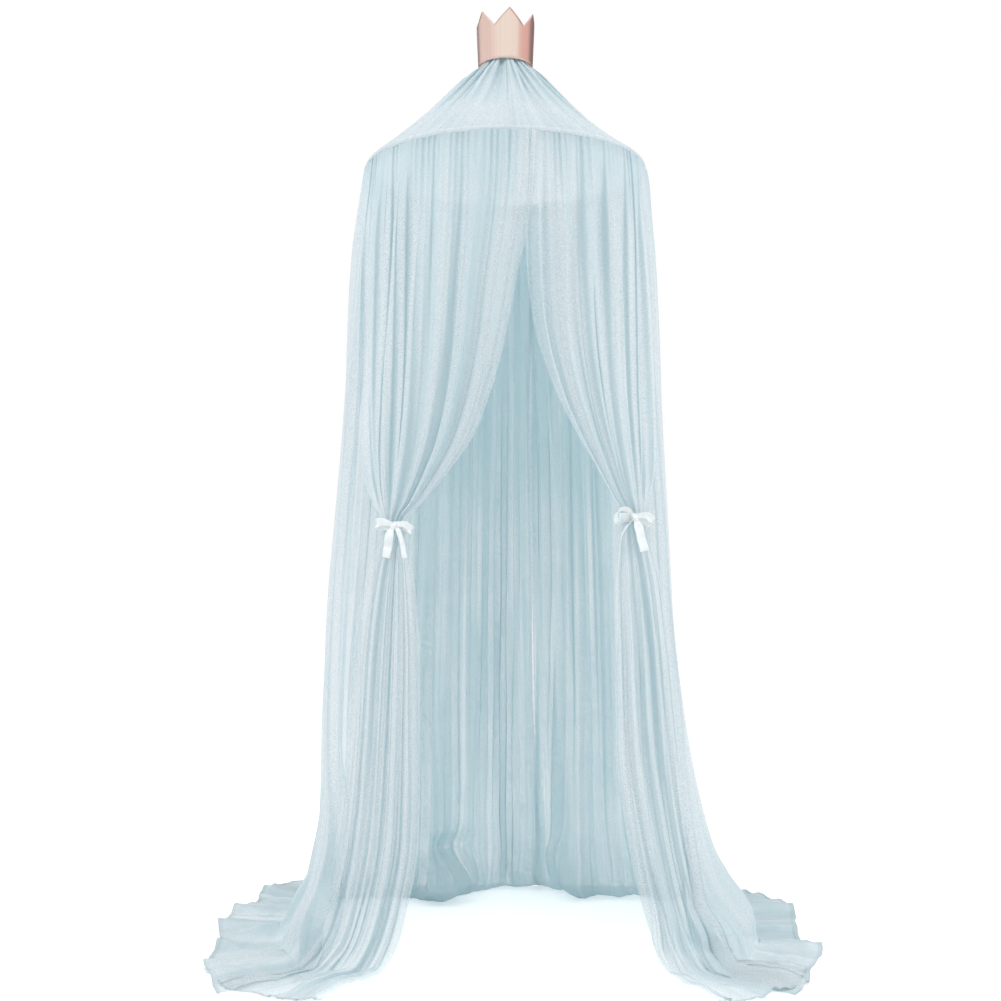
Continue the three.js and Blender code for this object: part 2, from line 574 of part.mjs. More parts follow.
const bandHalfHeight = RIBBON_WIDTH / 2 + SEAT_GAP;
function panelMiddle(panel, u, j) {
  const { tie, frame, startAngle, endAngle, spreadShares, standoff } = panel;
  if (j <= DROP_SHARES.length) {
    const underBand = j === DROP_SHARES.length;
    const drop = underBand ? 0 : DROP_SHARES[j];
    const aboveBand = THREE.MathUtils.lerp(tie.height + bandHalfHeight, curtainTopHeight, drop);
    const height = underBand ? tie.height - bandHalfHeight : aboveBand;
    const seam = Math.sign(endAngle) * degreesAlong(SEAM_GAP / 2, curtainTopRadius);
    const angle = THREE.MathUtils.lerp(startAngle + seam, endAngle, u);
    const clear = standoff * THREE.MathUtils.smoothstep(u, 0.6, 0.9) * drop;
    const free = around(angle, hangingRadius(angle, height) + clear, height);
    const tied = frame.middle.clone().addScaledVector(frame.along, BUNDLE_WIDTH * (u - 1 / 2));
    tied.z = level(height);
    const pull = pullShare(u, drop);
    const place = free.lerp(tied, pull);
    const edgeShare = 1 - LAP_FLAT_SHARE * THREE.MathUtils.smoothstep(u, 0.7, 0.95) * drop;
    const bundleDepth = BUNDLE_FOLD_DEPTH * THREE.MathUtils.lerp(BUNDLE_END_SHARE, 1, Math.sin(Math.PI * u));
    const depth = THREE.MathUtils.lerp(foldDepthAt(height) * edgeShare, bundleDepth, pull);
    return { place, depth };
  }
  const row = spreadShares[j - DROP_SHARES.length - 1];
  const [heightShare, outerX, outerY, innerX, innerY, bowShare, depthShare] = row;
  const outer = new THREE.Vector2(outerX, outerY).multiplyScalar(HOOP_RADIUS);
  const inner = new THREE.Vector2(innerX, innerY).multiplyScalar(HOOP_RADIUS);
  const across = inner.clone().sub(outer).normalize();
  const side = Math.sign(tie.x);
  const outward = new THREE.Vector2(side * Math.abs(across.y), -Math.abs(across.x));
  const place = outer.lerp(inner, u).addScaledVector(outward, HOOP_RADIUS * bowShare * 4 * u * (1 - u));
  const height = Math.max(heightShare * tie.height, floorHeight);
  const depth = depthShare === 0 ? FLOOR_FOLD_DEPTH : HANGING_FOLD_DEPTH * depthShare;
  return { place: new THREE.Vector3(place.x, place.y, level(height)), depth };
}

const PANELS = [
  {
    name: 'front_panel_left',
    tie: LEFT_TIE,
    frame: tieFrame(LEFT_TIE),
    startAngle: CURTAIN_SPLIT_ANGLES[0],
    endAngle: LEFT_EDGE_ANGLE,
    spreadShares: LEFT_SPREAD_SHARES,
    standoff: LAP_STANDOFF,
  },
  {
    name: 'front_panel_right',
    tie: RIGHT_TIE,
    frame: tieFrame(RIGHT_TIE),
    startAngle: CURTAIN_SPLIT_ANGLES[CURTAIN_SPLIT_ANGLES.length - 1],
    endAngle: RIGHT_EDGE_ANGLE,
    spreadShares: RIGHT_SPREAD_SHARES,
    standoff: 0,
  },
];
for (const panel of PANELS) {
  const rows = DROP_SHARES.length + panel.spreadShares.length;
  const columns = 4 * PANEL_FOLDS;
  const side = Math.sign(panel.tie.x);
  const shape = (u, v, i, j) => {
    const here = panelMiddle(panel, u, j);
    const step = 1 / columns;
    const left = panelMiddle(panel, Math.max(u - step, 0), j).place;
    const right = panelMiddle(panel, Math.min(u + step, 1), j).place;
    const above = panelMiddle(panel, u, Math.max(j - 1, 0)).place;
    const below = panelMiddle(panel, u, Math.min(j + 1, rows)).place;
    const outward = right.sub(left).cross(below.sub(above)).normalize().multiplyScalar(side);
    const fold = here.depth * Math.sin(2 * Math.PI * PANEL_FOLDS * u);
    return here.place.addScaledVector(outward, fold);
  };
  const facing = (u, v, i, j) => (side > 0 ? shape(1 - u, v, columns - i, j) : shape(u, v, i, j));
  addPiece(panel.name, wallGeometry(columns, rows, CLOTH_THICKNESS, facing), 'net');
}

// A ribbon run along a path, its broad side towards the given direction
function ribbonGeometry(path, steps, widthAt, sideAt) {
  return wallGeometry(steps, 1, RIBBON_THICKNESS, (u, v) => {
    const place = path.getPoint(u);
    return place.addScaledVector(sideAt(u), widthAt(u) * (1 / 2 - v));
  });
}

// Tie bands: each ribbon runs round its bundle and its ends meet under the knot.
// Bows: a knot on the band's face, two open loops and two tails that fall from the knot.
const UPRIGHT = new THREE.Vector3(0, 0, 1);
for (const panel of PANELS) {
  const side = panel.name.replace('front_panel_', '');
  const { along, outward, middle } = panel.frame;
  const place = (across, out, rise) => {
    const point = middle.clone().addScaledVector(along, across).addScaledVector(outward, out);
    return point.addScaledVector(UPRIGHT, rise);
  };
  const bandEase = HALF_CLOTH / MITER_LIMIT_SHARE + SEAT_GAP + RIBBON_THICKNESS / 2;
  const bandHalfDepth = BUNDLE_FOLD_DEPTH + bandEase;
  const bandHalfWidth = BUNDLE_WIDTH / 2 + bandEase;
  const straight = bandHalfWidth - bandHalfDepth;
  const bandPath = new THREE.CatmullRomCurve3([]);
  const corners = 6;
  bandPath.points.push(place(SEAT_GAP, bandHalfDepth, 0));
  for (const end of [1, -1]) {
    for (let k = 0; k <= corners; k += 1) {
      const turn = (end > 0 ? 0 : Math.PI) + (k / corners) * Math.PI;
      const across = end * straight + bandHalfDepth * Math.sin(turn);
      bandPath.points.push(place(across, bandHalfDepth * Math.cos(turn), 0));
    }
  }
  bandPath.points.push(place(-SEAT_GAP, bandHalfDepth, 0));
  bandPath.curveType = 'centripetal';
  addPiece(`${side}_tie_band`, ribbonGeometry(bandPath, 30, () => RIBBON_WIDTH, () => UPRIGHT), 'satin');

  const knotOut = bandHalfDepth + RIBBON_THICKNESS / 2 + SEAT_GAP + KNOT_DEPTH / 2;
  const knot = new THREE.SphereGeometry(1 / 2, 12, 8);
  knot.applyMatrix4(new THREE.Matrix4().makeBasis(
    along.clone().multiplyScalar(Math.sign(panel.tie.x) * KNOT_WIDTH),
    outward.clone().multiplyScalar(KNOT_DEPTH),
    UPRIGHT.clone().multiplyScalar(KNOT_HEIGHT),
  ));
  knot.translate(...place(0, knotOut, 0).toArray());
  addPiece(`${side}_bow_knot`, knot, 'satin');

  for (const hand of [1, -1]) {
    const handName = hand > 0 ? 'inner' : 'outer';
    const start = KNOT_WIDTH / 2 + SEAT_GAP;
    const reach = start + LOOP_LENGTH;
    const rise = (across) => (across - start) * LOOP_RISE_SHARE;
    const loopPath = new THREE.CatmullRomCurve3(LOOP_SHARES.map(([lengthShare, depthShare]) => {
      const across = THREE.MathUtils.lerp(start, reach, lengthShare);
      return place(hand * across, knotOut + LOOP_DEPTH * depthShare, rise(across));
    }));
    const pinch = (u) => THREE.MathUtils.lerp(KNOT_PINCH_SHARE, 1, Math.sin(Math.PI * u) ** (1 / 2));
    const loop = ribbonGeometry(loopPath, 18, (u) => RIBBON_WIDTH * pinch(u), () => UPRIGHT);
    addPiece(`${side}_bow_loop_${handName}`, loop, 'satin');

    const tailTop = -KNOT_HEIGHT / 2 - SEAT_GAP;
    const tailWidth = (u) => RIBBON_WIDTH * THREE.MathUtils.lerp(KNOT_PINCH_SHARE, 1, Math.min(3 * u, 1));
    const tailPoints = TAIL_SHARES.map(([lengthShare, spreadShare, outShare]) => {
      const across = tailWidth(lengthShare) / 2 + SEAM_GAP + TAIL_SPREAD * spreadShare;
      return place(hand * across, knotOut + TAIL_STANDOFF * outShare, tailTop - TAIL_LENGTH * lengthShare);
    });
    const tailPath = new THREE.CatmullRomCurve3(tailPoints);
    const tail = ribbonGeometry(tailPath, 10, tailWidth, () => along.clone().multiplyScalar(hand));
    addPiece(`${side}_bow_tail_${handName}`, tail, 'satin');
  }
}

export default canopy;
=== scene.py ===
import functools
import math

import bmesh
import bpy
import numpy as np
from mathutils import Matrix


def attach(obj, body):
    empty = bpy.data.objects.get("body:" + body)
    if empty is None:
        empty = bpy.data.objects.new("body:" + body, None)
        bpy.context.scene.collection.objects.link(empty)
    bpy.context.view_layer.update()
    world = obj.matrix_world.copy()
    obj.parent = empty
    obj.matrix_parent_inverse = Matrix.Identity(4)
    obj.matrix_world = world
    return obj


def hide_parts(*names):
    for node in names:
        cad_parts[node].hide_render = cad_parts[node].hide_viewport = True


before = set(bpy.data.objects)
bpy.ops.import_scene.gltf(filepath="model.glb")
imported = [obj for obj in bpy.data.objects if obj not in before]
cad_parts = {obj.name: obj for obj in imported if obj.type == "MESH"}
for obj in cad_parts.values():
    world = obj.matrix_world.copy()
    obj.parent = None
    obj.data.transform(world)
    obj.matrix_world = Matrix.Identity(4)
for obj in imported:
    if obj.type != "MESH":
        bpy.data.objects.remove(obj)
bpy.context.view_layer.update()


# Camera: level with a standing child's chest and tipped up a little, as the photograph was
# taken, 3 m from the canopy. The origin is the seat of the ceiling hook.
def add_object(name, data):
    """An object of this mesh, lamp or camera, put in the scene."""
    made = bpy.data.objects.new(name, data)
    bpy.context.collection.objects.link(made)
    return made


camera = add_object("camera", bpy.data.cameras.new("camera"))
camera.data.lens = 49.36
camera.data.sensor_width = 36
camera.location = (-0.011, -3.0, -1.21)
camera.rotation_euler = (math.radians(92.82), 0, 0)
studio = bpy.context.scene
studio.camera = camera
studio.view_settings.view_transform = "Standard"


# Floor and background: a white studio sweep. What the camera and shiny things see of it is
# white, and the floor keeps the soft shadow of the hem. Heights are given up from the floor.
def colour(hex_code):
    """A colour written in sRGB, as the linear values that the shaders take."""
    shares = [int(hex_code[k:k + 2], 16) / 255 for k in (1, 3, 5)]
    return tuple(s / 12.92 if s <= 0.04045 else ((s + 0.055) / 1.055) ** 2.4 for s in shares) + (1,)


def add_node(tree, kind, inputs=None, **settings):
    """A node of the shader with its settings. Each input is a value, a colour in hex, a socket,
    or another node, whose first socket is then linked."""
    made = tree.nodes.new(f"ShaderNode{kind}")
    for name, value in settings.items():
        setattr(made, name, value)
    for name, value in (inputs or {}).items():
        if isinstance(value, bpy.types.Node):
            value = value.outputs[0]
        if isinstance(value, bpy.types.NodeSocket):
            tree.links.new(value, made.inputs[name])
        else:
            made.inputs[name].default_value = colour(value) if isinstance(value, str) else value
    return made


def new_material(name):
    """A material with no nodes yet, and the call that adds a node to it."""
    made = bpy.data.materials.new(name)
    made.use_nodes = True
    made.node_tree.nodes.clear()
    return made, functools.partial(add_node, made.node_tree)


def studio_card(name, corners, paint):
    """A flat four-cornered thing of the studio, in its paint."""
    mesh = bpy.data.meshes.new(name)
    mesh.from_pydata(corners, [], [(0, 1, 2, 3)])
    mesh.materials.append(paint)
    made = add_object(name, mesh)
    return made


HANG_HEIGHT = 2.0
FLOOR_Z = -HANG_HEIGHT
FLOOR_REACH = 40.0
FLOOR_GLOW = 0.42
ROOM_LIGHT = 0.76

floor_paint, node = new_material("matt white floor paint")
matt = node("BsdfDiffuse", {"Color": "#F1F2F2"})
path = node("LightPath")
glow = node("Math", {0: path.outputs["Is Camera Ray"], 1: FLOOR_GLOW}, operation="MULTIPLY")
shine = node("Emission", {"Color": "#FFFFFF", "Strength": glow})
both = node("AddShader", {0: matt, 1: shine})
node("OutputMaterial", {"Surface": both})

corners = [(x * FLOOR_REACH, y * FLOOR_REACH, FLOOR_Z) for x, y in ((-1, -1), (1, -1), (1, 1), (-1, 1))]
studio_card("floor", corners, floor_paint)

world = bpy.data.worlds.new("white studio")
world.use_nodes = True
studio.world = world
world.node_tree.nodes.clear()
node = functools.partial(add_node, world.node_tree)
path = node("LightPath")
seen = path.outputs["Is Camera Ray"]
for ray in ("Is Glossy Ray", "Is Transmission Ray"):
    seen = node("Math", {0: seen, 1: path.outputs[ray]}, operation="MAXIMUM")
strength = node("MapRange", {"Value": seen, "To Min": ROOM_LIGHT, "To Max": 1.0})
sky = node("Background", {"Color": "#FFFFFF", "Strength": strength})
node("OutputWorld", {"Surface": sky})


# Light: two large softboxes, one at each side in front of the canopy and nearly alike, and a
# weaker one overhead. They light the net, and neither the camera nor shiny things see them.
def softbox(name, place, aim, width, power):
    """A square softbox, turned to face a point."""
    lamp = bpy.data.lights.new(name, "AREA")
    lamp.shape = "SQUARE"
    lamp.size = width
    lamp.energy = power
    made = add_object(name, lamp)
    made.location = place
    made.visible_camera = False
    made.visible_glossy = False
    away = np.array(place) - np.array(aim)
    flat = math.hypot(away[0], away[1])
    made.rotation_euler = (math.atan2(flat, away[2]), 0, math.atan2(away[0], -away[1]))


softbox("key_softbox", (-3.1, -1.5, 0.4), (0, 0, -0.9), 2.6, 48)
softbox("fill_softbox", (3.2, -1.3, 0.1), (0, 0, -1.0), 2.6, 51)
softbox("top_softbox", (-0.2, -1.4, 2.2), (0, 0, -0.3), 2.2, 28)


# Cards: they stand round the canopy for the crown to mirror, a cool white one in front, a warm
# dim one at the right and a dark one beyond each side. Nothing else sees them.
CARD_FOOT, CARD_TOP = -0.6, 2.4


def reflector(name, turn, away, width, tint, strength):
    """An upright card that only shiny things see, at a turn in degrees from the camera's side."""
    card_paint, node = new_material(f"{name} paint")
    shine = node("Emission", {"Color": tint, "Strength": strength})
    node("OutputMaterial", {"Surface": shine})
    turn = math.radians(turn)
    middle = np.array([math.sin(turn), -math.cos(turn)]) * away
    along = np.array([math.cos(turn), math.sin(turn)]) * width / 2
    near, far = middle - along, middle + along
    corners = [(*near, CARD_FOOT), (*far, CARD_FOOT), (*far, CARD_TOP), (*near, CARD_TOP)]
    card = studio_card(name, corners, card_paint)
    for kind in ("camera", "diffuse", "transmission", "shadow", "volume_scatter"):
        setattr(card, f"visible_{kind}", False)


reflector("front_card", 8, 1.9, 3.3, "#F6FFFF", 1.08)
reflector("left_card", -88, 1.5, 2.2, "#F3EEF0", 0.98)
reflector("right_card", 84, 1.5, 1.6, "#DDC0BE", 1.16)
reflector("left_dark_card", -150, 1.5, 1.2, "#A09AA2", 0.9)
reflector("right_dark_card", 138, 1.5, 1.6, "#8C8286", 0.9)


# Hanging ring: round steel wire bent to a ring, butt welded and nickel plated. It hangs upright
# from the ceiling hook, with its hole facing the doorway. Welding leaves the wire a little
# thicker at two places, one at each side of the ring's foot.
def turned_mesh(places, around_is_closed=False, along_is_closed=False, share=None, density=None):
    """A mesh on a grid of points, (rows, columns, 3). Its UV is the length run in metres, or the
    share that is given. The density is the net's, for each point."""
    rows, columns = places.shape[:2]
    index = np.arange(rows * columns).reshape(rows, columns)
    if around_is_closed:
        index = np.hstack([index, index[:, :1]])
    if along_is_closed:
        index = np.vstack([index, index[:1]])
    faces = np.stack([index[:-1, :-1], index[1:, :-1], index[1:, 1:], index[:-1, 1:]], -1).reshape(-1, 4)
    made = bpy.data.meshes.new("piece")
    made.from_pydata(places.reshape(-1, 3).tolist(), [], faces.tolist())
    made.polygons.foreach_set("use_smooth", np.ones(len(faces), bool))
    if share is None:
        across = np.linalg.norm(np.diff(places, axis=1), axis=2).mean(0).sum()
        along = np.linalg.norm(np.diff(places, axis=0), axis=2).mean(1).sum()
        share = np.stack(np.meshgrid(np.linspace(0, across, columns), np.linspace(0, along, rows)), -1)
    corner = np.empty(len(made.loops), int)
    made.loops.foreach_get("vertex_index", corner)
    made.uv_layers.new(name="cloth").data.foreach_set("uv", share.reshape(-1, 2)[corner].ravel())
    if density is not None:
        layer = made.attributes.new("net_share", "FLOAT", "POINT")
        layer.data.foreach_set("value", density.astype(np.float32).ravel())
    return made


def add_piece(part, mesh, material, slot, body="canopy", kind=None):
    """The piece in the scene: it stands for a part of the CAD, wears a finish and moves with a
    body."""
    mesh.name = part
    mesh.materials.append(material)
    piece = add_object(f"{kind or slot}_{part}", mesh)
    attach(piece, body)
    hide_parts(part)
    return piece


def unit(arrows):
    """The same directions, each 1 long."""
    return arrows / np.maximum(np.linalg.norm(arrows, axis=-1, keepdims=True), 1e-9)


def swept_tube(places, radius, sides, closed):
    """Rings of points round a line of points; the radius may be one for each point."""
    places = np.asarray(places, float)
    run = np.gradient(places, axis=0)
    if closed:
        run = np.roll(places, -1, 0) - np.roll(places, 1, 0)
    run = unit(run)
    flat = np.array([0, 0, 1.0]) if abs(run[:, 2]).max() < 0.9 else np.array([0, 1.0, 0])
    side = unit(np.cross(run, flat))
    up = np.cross(side, run)
    turn = np.linspace(0, 2 * math.pi, sides, endpoint=False)[:, None]
    radius = np.broadcast_to(np.asarray(radius, float), len(places))[:, None, None]
    return places[:, None] + radius * (side[:, None] * np.cos(turn) + up[:, None] * np.sin(turn))


RING_BORE = 0.030
RING_WIRE = 0.004
RING_WELD = 0.0004
WELD_TURN, WELD_SPREAD = 0.9, 0.09

nickel, node = new_material("nickel-plated steel wire, drawn")
place = node("TexCoord")
# Drawing the wire leaves fine lines along it. The real ones are 0.1 mm apart, drawn 5 times
# coarser.
lines = node("TexNoise", {"Vector": place.outputs["Object"], "Scale": 1900, "Detail": 3})
dull = node("MapRange", {"Value": lines, "To Min": 0.16, "To Max": 0.34})
metal = node("BsdfPrincipled", {"Base Color": "#C9CBCD", "Metallic": 1.0, "Roughness": dull})
node("OutputMaterial", {"Surface": metal})

turns = np.linspace(0, 2 * math.pi, 96, endpoint=False)
wire_line = (RING_BORE + RING_WIRE) / 2
ring_line = np.stack([wire_line * np.sin(turns), 0 * turns, -RING_BORE / 2 - wire_line * np.cos(turns)], 1)
from_foot = np.minimum(turns, 2 * math.pi - turns)
weld = RING_WIRE / 2 + RING_WELD * np.exp(-((from_foot - WELD_TURN) / WELD_SPREAD) ** 2)
ring = turned_mesh(swept_tube(ring_line, weld, 20, True), True, True)
add_piece("hanging_ring", ring, nickel, "steel", body="hanging_ring")


# Hanging strap: narrow woven polyester tape, looped through the ring with both ends down in
# the roof's neck, where the binding grips them.
STRAP_WIDTH = 0.008
STRAP_THICKNESS = 0.0012
STRAP_CLEARANCE = 0.0008
NECK_FOOT = 1.944
NECK_LENGTH = 0.013


def woven(name, tint, shade, thread, gloss, sheen):
    """Plain-woven cloth: warp and weft threads cross, so the surface rises and dips at each.
    The yarn is a little thicker or thinner every 6 mm or so."""
    made, node = new_material(name)
    uv = node("UVMap", uv_map="cloth")
    scaled = node("VectorMath", {0: uv, "Scale": math.pi / thread}, operation="SCALE")
    split = node("SeparateXYZ", {0: scaled})
    warp = node("Math", {0: split}, operation="SINE")
    weft = node("Math", {0: split.outputs[1]}, operation="SINE")
    cross = node("Math", {0: warp, 1: weft}, operation="MULTIPLY")
    slub = node("TexNoise", {"Vector": uv, "Scale": 160, "Detail": 4})
    # Where the weave dips, its colour is painted towards the darker shade colour: painted shade in the
    # weave's hollows. The slub varies it at random as well.
    weave_dip_shade = node("MapRange", {"Value": cross, "From Min": -1, "To Min": 0.0})
    tone = node("Math", {0: weave_dip_shade, 1: slub}, operation="MULTIPLY")
    tint_mix = node("Mix", {0: tone, 6: shade, 7: tint}, data_type="RGBA")
    bump = node("Bump", {"Height": cross, "Distance": thread / 6, "Strength": 0.5})
    cloth = node("BsdfPrincipled", {"Base Color": tint_mix.outputs[2], "Roughness": gloss,
                                    "Sheen Weight": sheen, "Sheen Roughness": 0.4, "Normal": bump})
    node("OutputMaterial", {"Surface": cloth})
    return made


# The tape's real threads are 0.35 mm apart, drawn twice as coarse.
tape = woven("woven polyester tape, pale blue", "#DDE7EB", "#C6D5DC", 0.0007, 0.8, 0.3)

ring_foot = HANG_HEIGHT - RING_BORE - RING_WIRE / 2
leg_foot = NECK_FOOT + NECK_LENGTH / 4
strap_bend = RING_WIRE / 2 + STRAP_CLEARANCE
bend = np.linspace(0, math.pi, 17)
leg_up = np.linspace(leg_foot, ring_foot, 17) - HANG_HEIGHT
leg_down = np.linspace(ring_foot, leg_foot, 17) - HANG_HEIGHT
over_ring = strap_bend * np.sin(bend) + ring_foot - HANG_HEIGHT
strap_line = np.concatenate([
    np.stack([0 * bend, 0 * bend + strap_bend, leg_up], 1)[:-1],
    np.stack([0 * bend, strap_bend * np.cos(bend), over_ring], 1),
    np.stack([0 * bend, 0 * bend - strap_bend, leg_down], 1)[1:],
])


def ribbon_section(width, thickness, edge_steps=5, face_steps=7):
    """The outline of a flat tape with rounded selvedges: across, through."""
    half, depth = width / 2 - thickness / 2, thickness / 2
    turn = np.linspace(-math.pi / 2, math.pi / 2, edge_steps)
    right = np.stack([half + depth * np.cos(turn), depth * np.sin(turn)], 1)
    top = np.stack([np.linspace(half, -half, face_steps), np.full(face_steps, depth)], 1)[1:-1]
    left = np.stack([-half - depth * np.cos(turn), -depth * np.sin(turn)], 1)
    foot = -top
    return np.concatenate([right, top, left, foot])


def capped(rings):
    """The rings with a point at the middle of each end one, so that both ends are closed."""
    ends = [np.broadcast_to(rings[k].mean(0), rings[k].shape) for k in (0, -1)]
    return np.array([ends[0], *rings, ends[1]])


def swept_ribbon(line, side, width, thickness, cup=0.0):
    """A ribbon run along a line, its broad side along the given directions, with closed ends."""
    line = np.asarray(line, float)
    side = np.broadcast_to(np.asarray(side, float), line.shape)
    run = unit(np.gradient(line, axis=0))
    side = unit(side - run * (side * run).sum(1, keepdims=True))
    out = np.cross(run, side)
    widths = np.broadcast_to(np.asarray(width, float), len(line))
    rings = []
    for k in range(len(line)):
        section = ribbon_section(widths[k], thickness)
        lift = section[:, 1] + cup * widths[k] * (2 * section[:, 0] / widths[k]) ** 2
        rings.append(line[k] + section[:, :1] * side[k] + lift[:, None] * out[k])
    return capped(rings)


def weld_mesh(mesh):
    """Joins the points that meet, so that closed ends are closed."""
    work = bmesh.new()
    work.from_mesh(mesh)
    bmesh.ops.remove_doubles(work, verts=work.verts, dist=1e-7)
    bmesh.ops.recalc_face_normals(work, faces=work.faces)
    work.to_mesh(mesh)
    work.free()
    return mesh


strap = swept_ribbon(strap_line, (1, 0, 0), STRAP_WIDTH, STRAP_THICKNESS)
add_piece("hanging_strap", weld_mesh(turned_mesh(strap, True)), tape, "tape")


# Hoop: four white fibreglass rods, pushed end to end into ferrules moulded of grey plastic and
# sprung to a ring. It lies in the casing, and holds the roof's rim and the curtain open.
HOOP_RADIUS = 0.300
HOOP_HEIGHT = 1.665
ROD_COUNT = 4
ROD_DIAMETER = 0.007
ROD_END_GAP = 0.001
FERRULE_LENGTH = 0.050
FERRULE_WALL = 0.001
# Pieces that touch are drawn this far apart, as their solids are
PIECE_GAP = 0.0003
UP = np.array([0, 0, 1.0])


def around(angle, radius, height):
    """The point at an angle from the back, in degrees, a distance out and a height above the floor."""
    turn = np.radians(angle)
    height = height + 0 * turn
    return np.stack([radius * np.sin(turn), radius * np.cos(turn), height - HANG_HEIGHT], -1)


def moulded(name, tint, shade, gloss):
    """Plain plastic, a little cloudy, with the faint pebble that the mould or the die leaves.
    The pebble is 0.7 mm across and the clouds are some 17 mm wide."""
    made, node = new_material(name)
    place = node("TexCoord")
    cloud = node("TexNoise", {"Vector": place.outputs["Object"], "Scale": 60, "Detail": 4})
    tone = node("Mix", {0: cloud, 6: shade, 7: tint}, data_type="RGBA")
    pebble = node("TexNoise", {"Vector": place.outputs["Object"], "Scale": 1400})
    bump = node("Bump", {"Height": pebble, "Distance": 0.0001, "Strength": 0.4})
    shell = node("BsdfPrincipled", {"Base Color": tone.outputs[2], "Roughness": gloss, "Normal": bump})
    node("OutputMaterial", {"Surface": shell})
    return made


rod_plastic = moulded("white fibreglass rod, extruded", "#ECECE8", "#E2E2DD", 0.38)
ferrule_plastic = moulded("pale grey ferrule plastic, moulded", "#DCDDDA", "#D2D3D0", 0.5)

quarter = 360 / ROD_COUNT
gap = math.degrees(ROD_END_GAP / 2 / HOOP_RADIUS)
reach = math.degrees(FERRULE_LENGTH / 2 / HOOP_RADIUS)
inside = ROD_DIAMETER / 2 + PIECE_GAP
outside = inside + FERRULE_WALL
for k in range(ROD_COUNT):
    joint = quarter * (k + 0.5)
    line = around(np.linspace(joint + gap, joint + quarter - gap, 61), HOOP_RADIUS, HOOP_HEIGHT)
    rod = turned_mesh(capped(swept_tube(line, ROD_DIAMETER / 2, 16, False)), True)
    add_piece(f"hoop_rod_{k + 1}", weld_mesh(rod), rod_plastic, "rod", kind="plastic")

    # A ferrule's wall runs along its outside, round its end and back along its bore.
    along = np.linspace(-1, 1, 21)[1:-1]
    run = np.concatenate([[-1, -1], along, [1, 1, 1], -along, [-1]])
    wall = np.full(len(run), outside)
    wall[22:] = inside
    wall[[0, 21]] = outside - FERRULE_WALL / 2
    line = around(joint + reach * run, HOOP_RADIUS, HOOP_HEIGHT)
    out = unit(line - UP * (HOOP_HEIGHT - HANG_HEIGHT))
    turn = np.linspace(0, 2 * math.pi, 18, endpoint=False)[:, None]
    rings = line[:, None] + wall[:, None, None] * (out[:, None] * np.cos(turn) + UP * np.sin(turn))
    ferrule = weld_mesh(turned_mesh(rings, True, True))
    add_piece(f"hoop_ferrule_{k + 1}", ferrule, ferrule_plastic, "ferrule", kind="plastic")


# Hoop casing: polyester tape folded round the hoop and stitched to itself below it. The
# stitching puckers it a little, and its two edges hang as a flange that takes the net.
CASING_RADIUS = 0.0069
CASING_FLANGE = 0.009
CASING_WALL = 0.001
FLANGE_HALF = 0.0013
PUCKERS, PUCKER_DEPTH = 150, 0.0003

turn = np.linspace(0, 360, 1201)[:-1]
opening = math.asin(FLANGE_HALF / CASING_RADIUS)
bow = np.linspace(-math.pi / 2 + opening, 1.5 * math.pi - opening, 25)
inner = CASING_RADIUS - CASING_WALL
edge = -CASING_RADIUS - CASING_FLANGE
section = np.array([
    (FLANGE_HALF, edge), (FLANGE_HALF, edge + CASING_FLANGE / 2),
    *[(CASING_RADIUS * math.cos(b), CASING_RADIUS * math.sin(b)) for b in bow],
    (-FLANGE_HALF, edge + CASING_FLANGE / 2), (-FLANGE_HALF, edge), (-PIECE_GAP, edge),
    *[(inner * math.cos(b), inner * math.sin(b)) for b in bow[::-1]],
    (PIECE_GAP, edge),
])
pucker = PUCKER_DEPTH * np.sin(np.radians(turn) * PUCKERS) * (0.6 + 0.4 * np.sin(np.radians(turn) * 7))
swell = 1 + pucker / CASING_RADIUS
across = section[:, :1] * swell
rise = section[:, 1:] * swell
casing = turned_mesh(around(turn, HOOP_RADIUS + across, HOOP_HEIGHT + rise), True, True)
casing.flip_normals()
add_piece("hoop_casing", casing, tape, "tape")


# Roof: six gores of sheer polyester net, sewn edge to edge and gathered into a neck, where a
# wound tape binds them round the strap's ends. The rim is turned over the hoop's casing.
GORE_COUNT = 6
SEAM_LAP = 0.006
NECK_RADIUS = 0.0065
RIM_TURNED = 0.0096
ROOF_FOLDS, ROOF_FOLD = 2, 0.0056
WIDE_CREASE, WIDE_CREASE_DEPTH = 0.042, 0.0062
FINE_CREASE, FINE_CREASE_DEPTH = 0.017, 0.0022
RIM_GATHER, RIM_GATHER_DEPTH = 0.0095, 0.0007
# The share of the view that one layer of the net blocks, and the layers that its gathers lay on
# each other at the hoop, at most under the crown, and more on the rim
NET_SHARE = 0.30
ROOF_LAYERS, NECK_LAYERS, RIM_LAYERS = 2.9, 5, 1.2


def noise(seed, across, along):
    """Smooth noise from -1 to 1 on two arrays of places, one bump for each unit."""
    across, along = np.broadcast_arrays(across, along)
    low_a, low_b = math.floor(across.min()), math.floor(along.min())
    a, b = across - low_a, along - low_b
    table = np.random.default_rng(seed).uniform(-1, 1, (int(a.max()) + 2, int(b.max()) + 2))
    i, j = a.astype(int), b.astype(int)
    fa, fb = a - i, b - j
    fa, fb = fa * fa * (3 - 2 * fa), fb * fb * (3 - 2 * fb)
    near = table[i, j] * (1 - fa) + table[i + 1, j] * fa
    far = table[i, j + 1] * (1 - fa) + table[i + 1, j + 1] * fa
    return near * (1 - fb) + far * fb


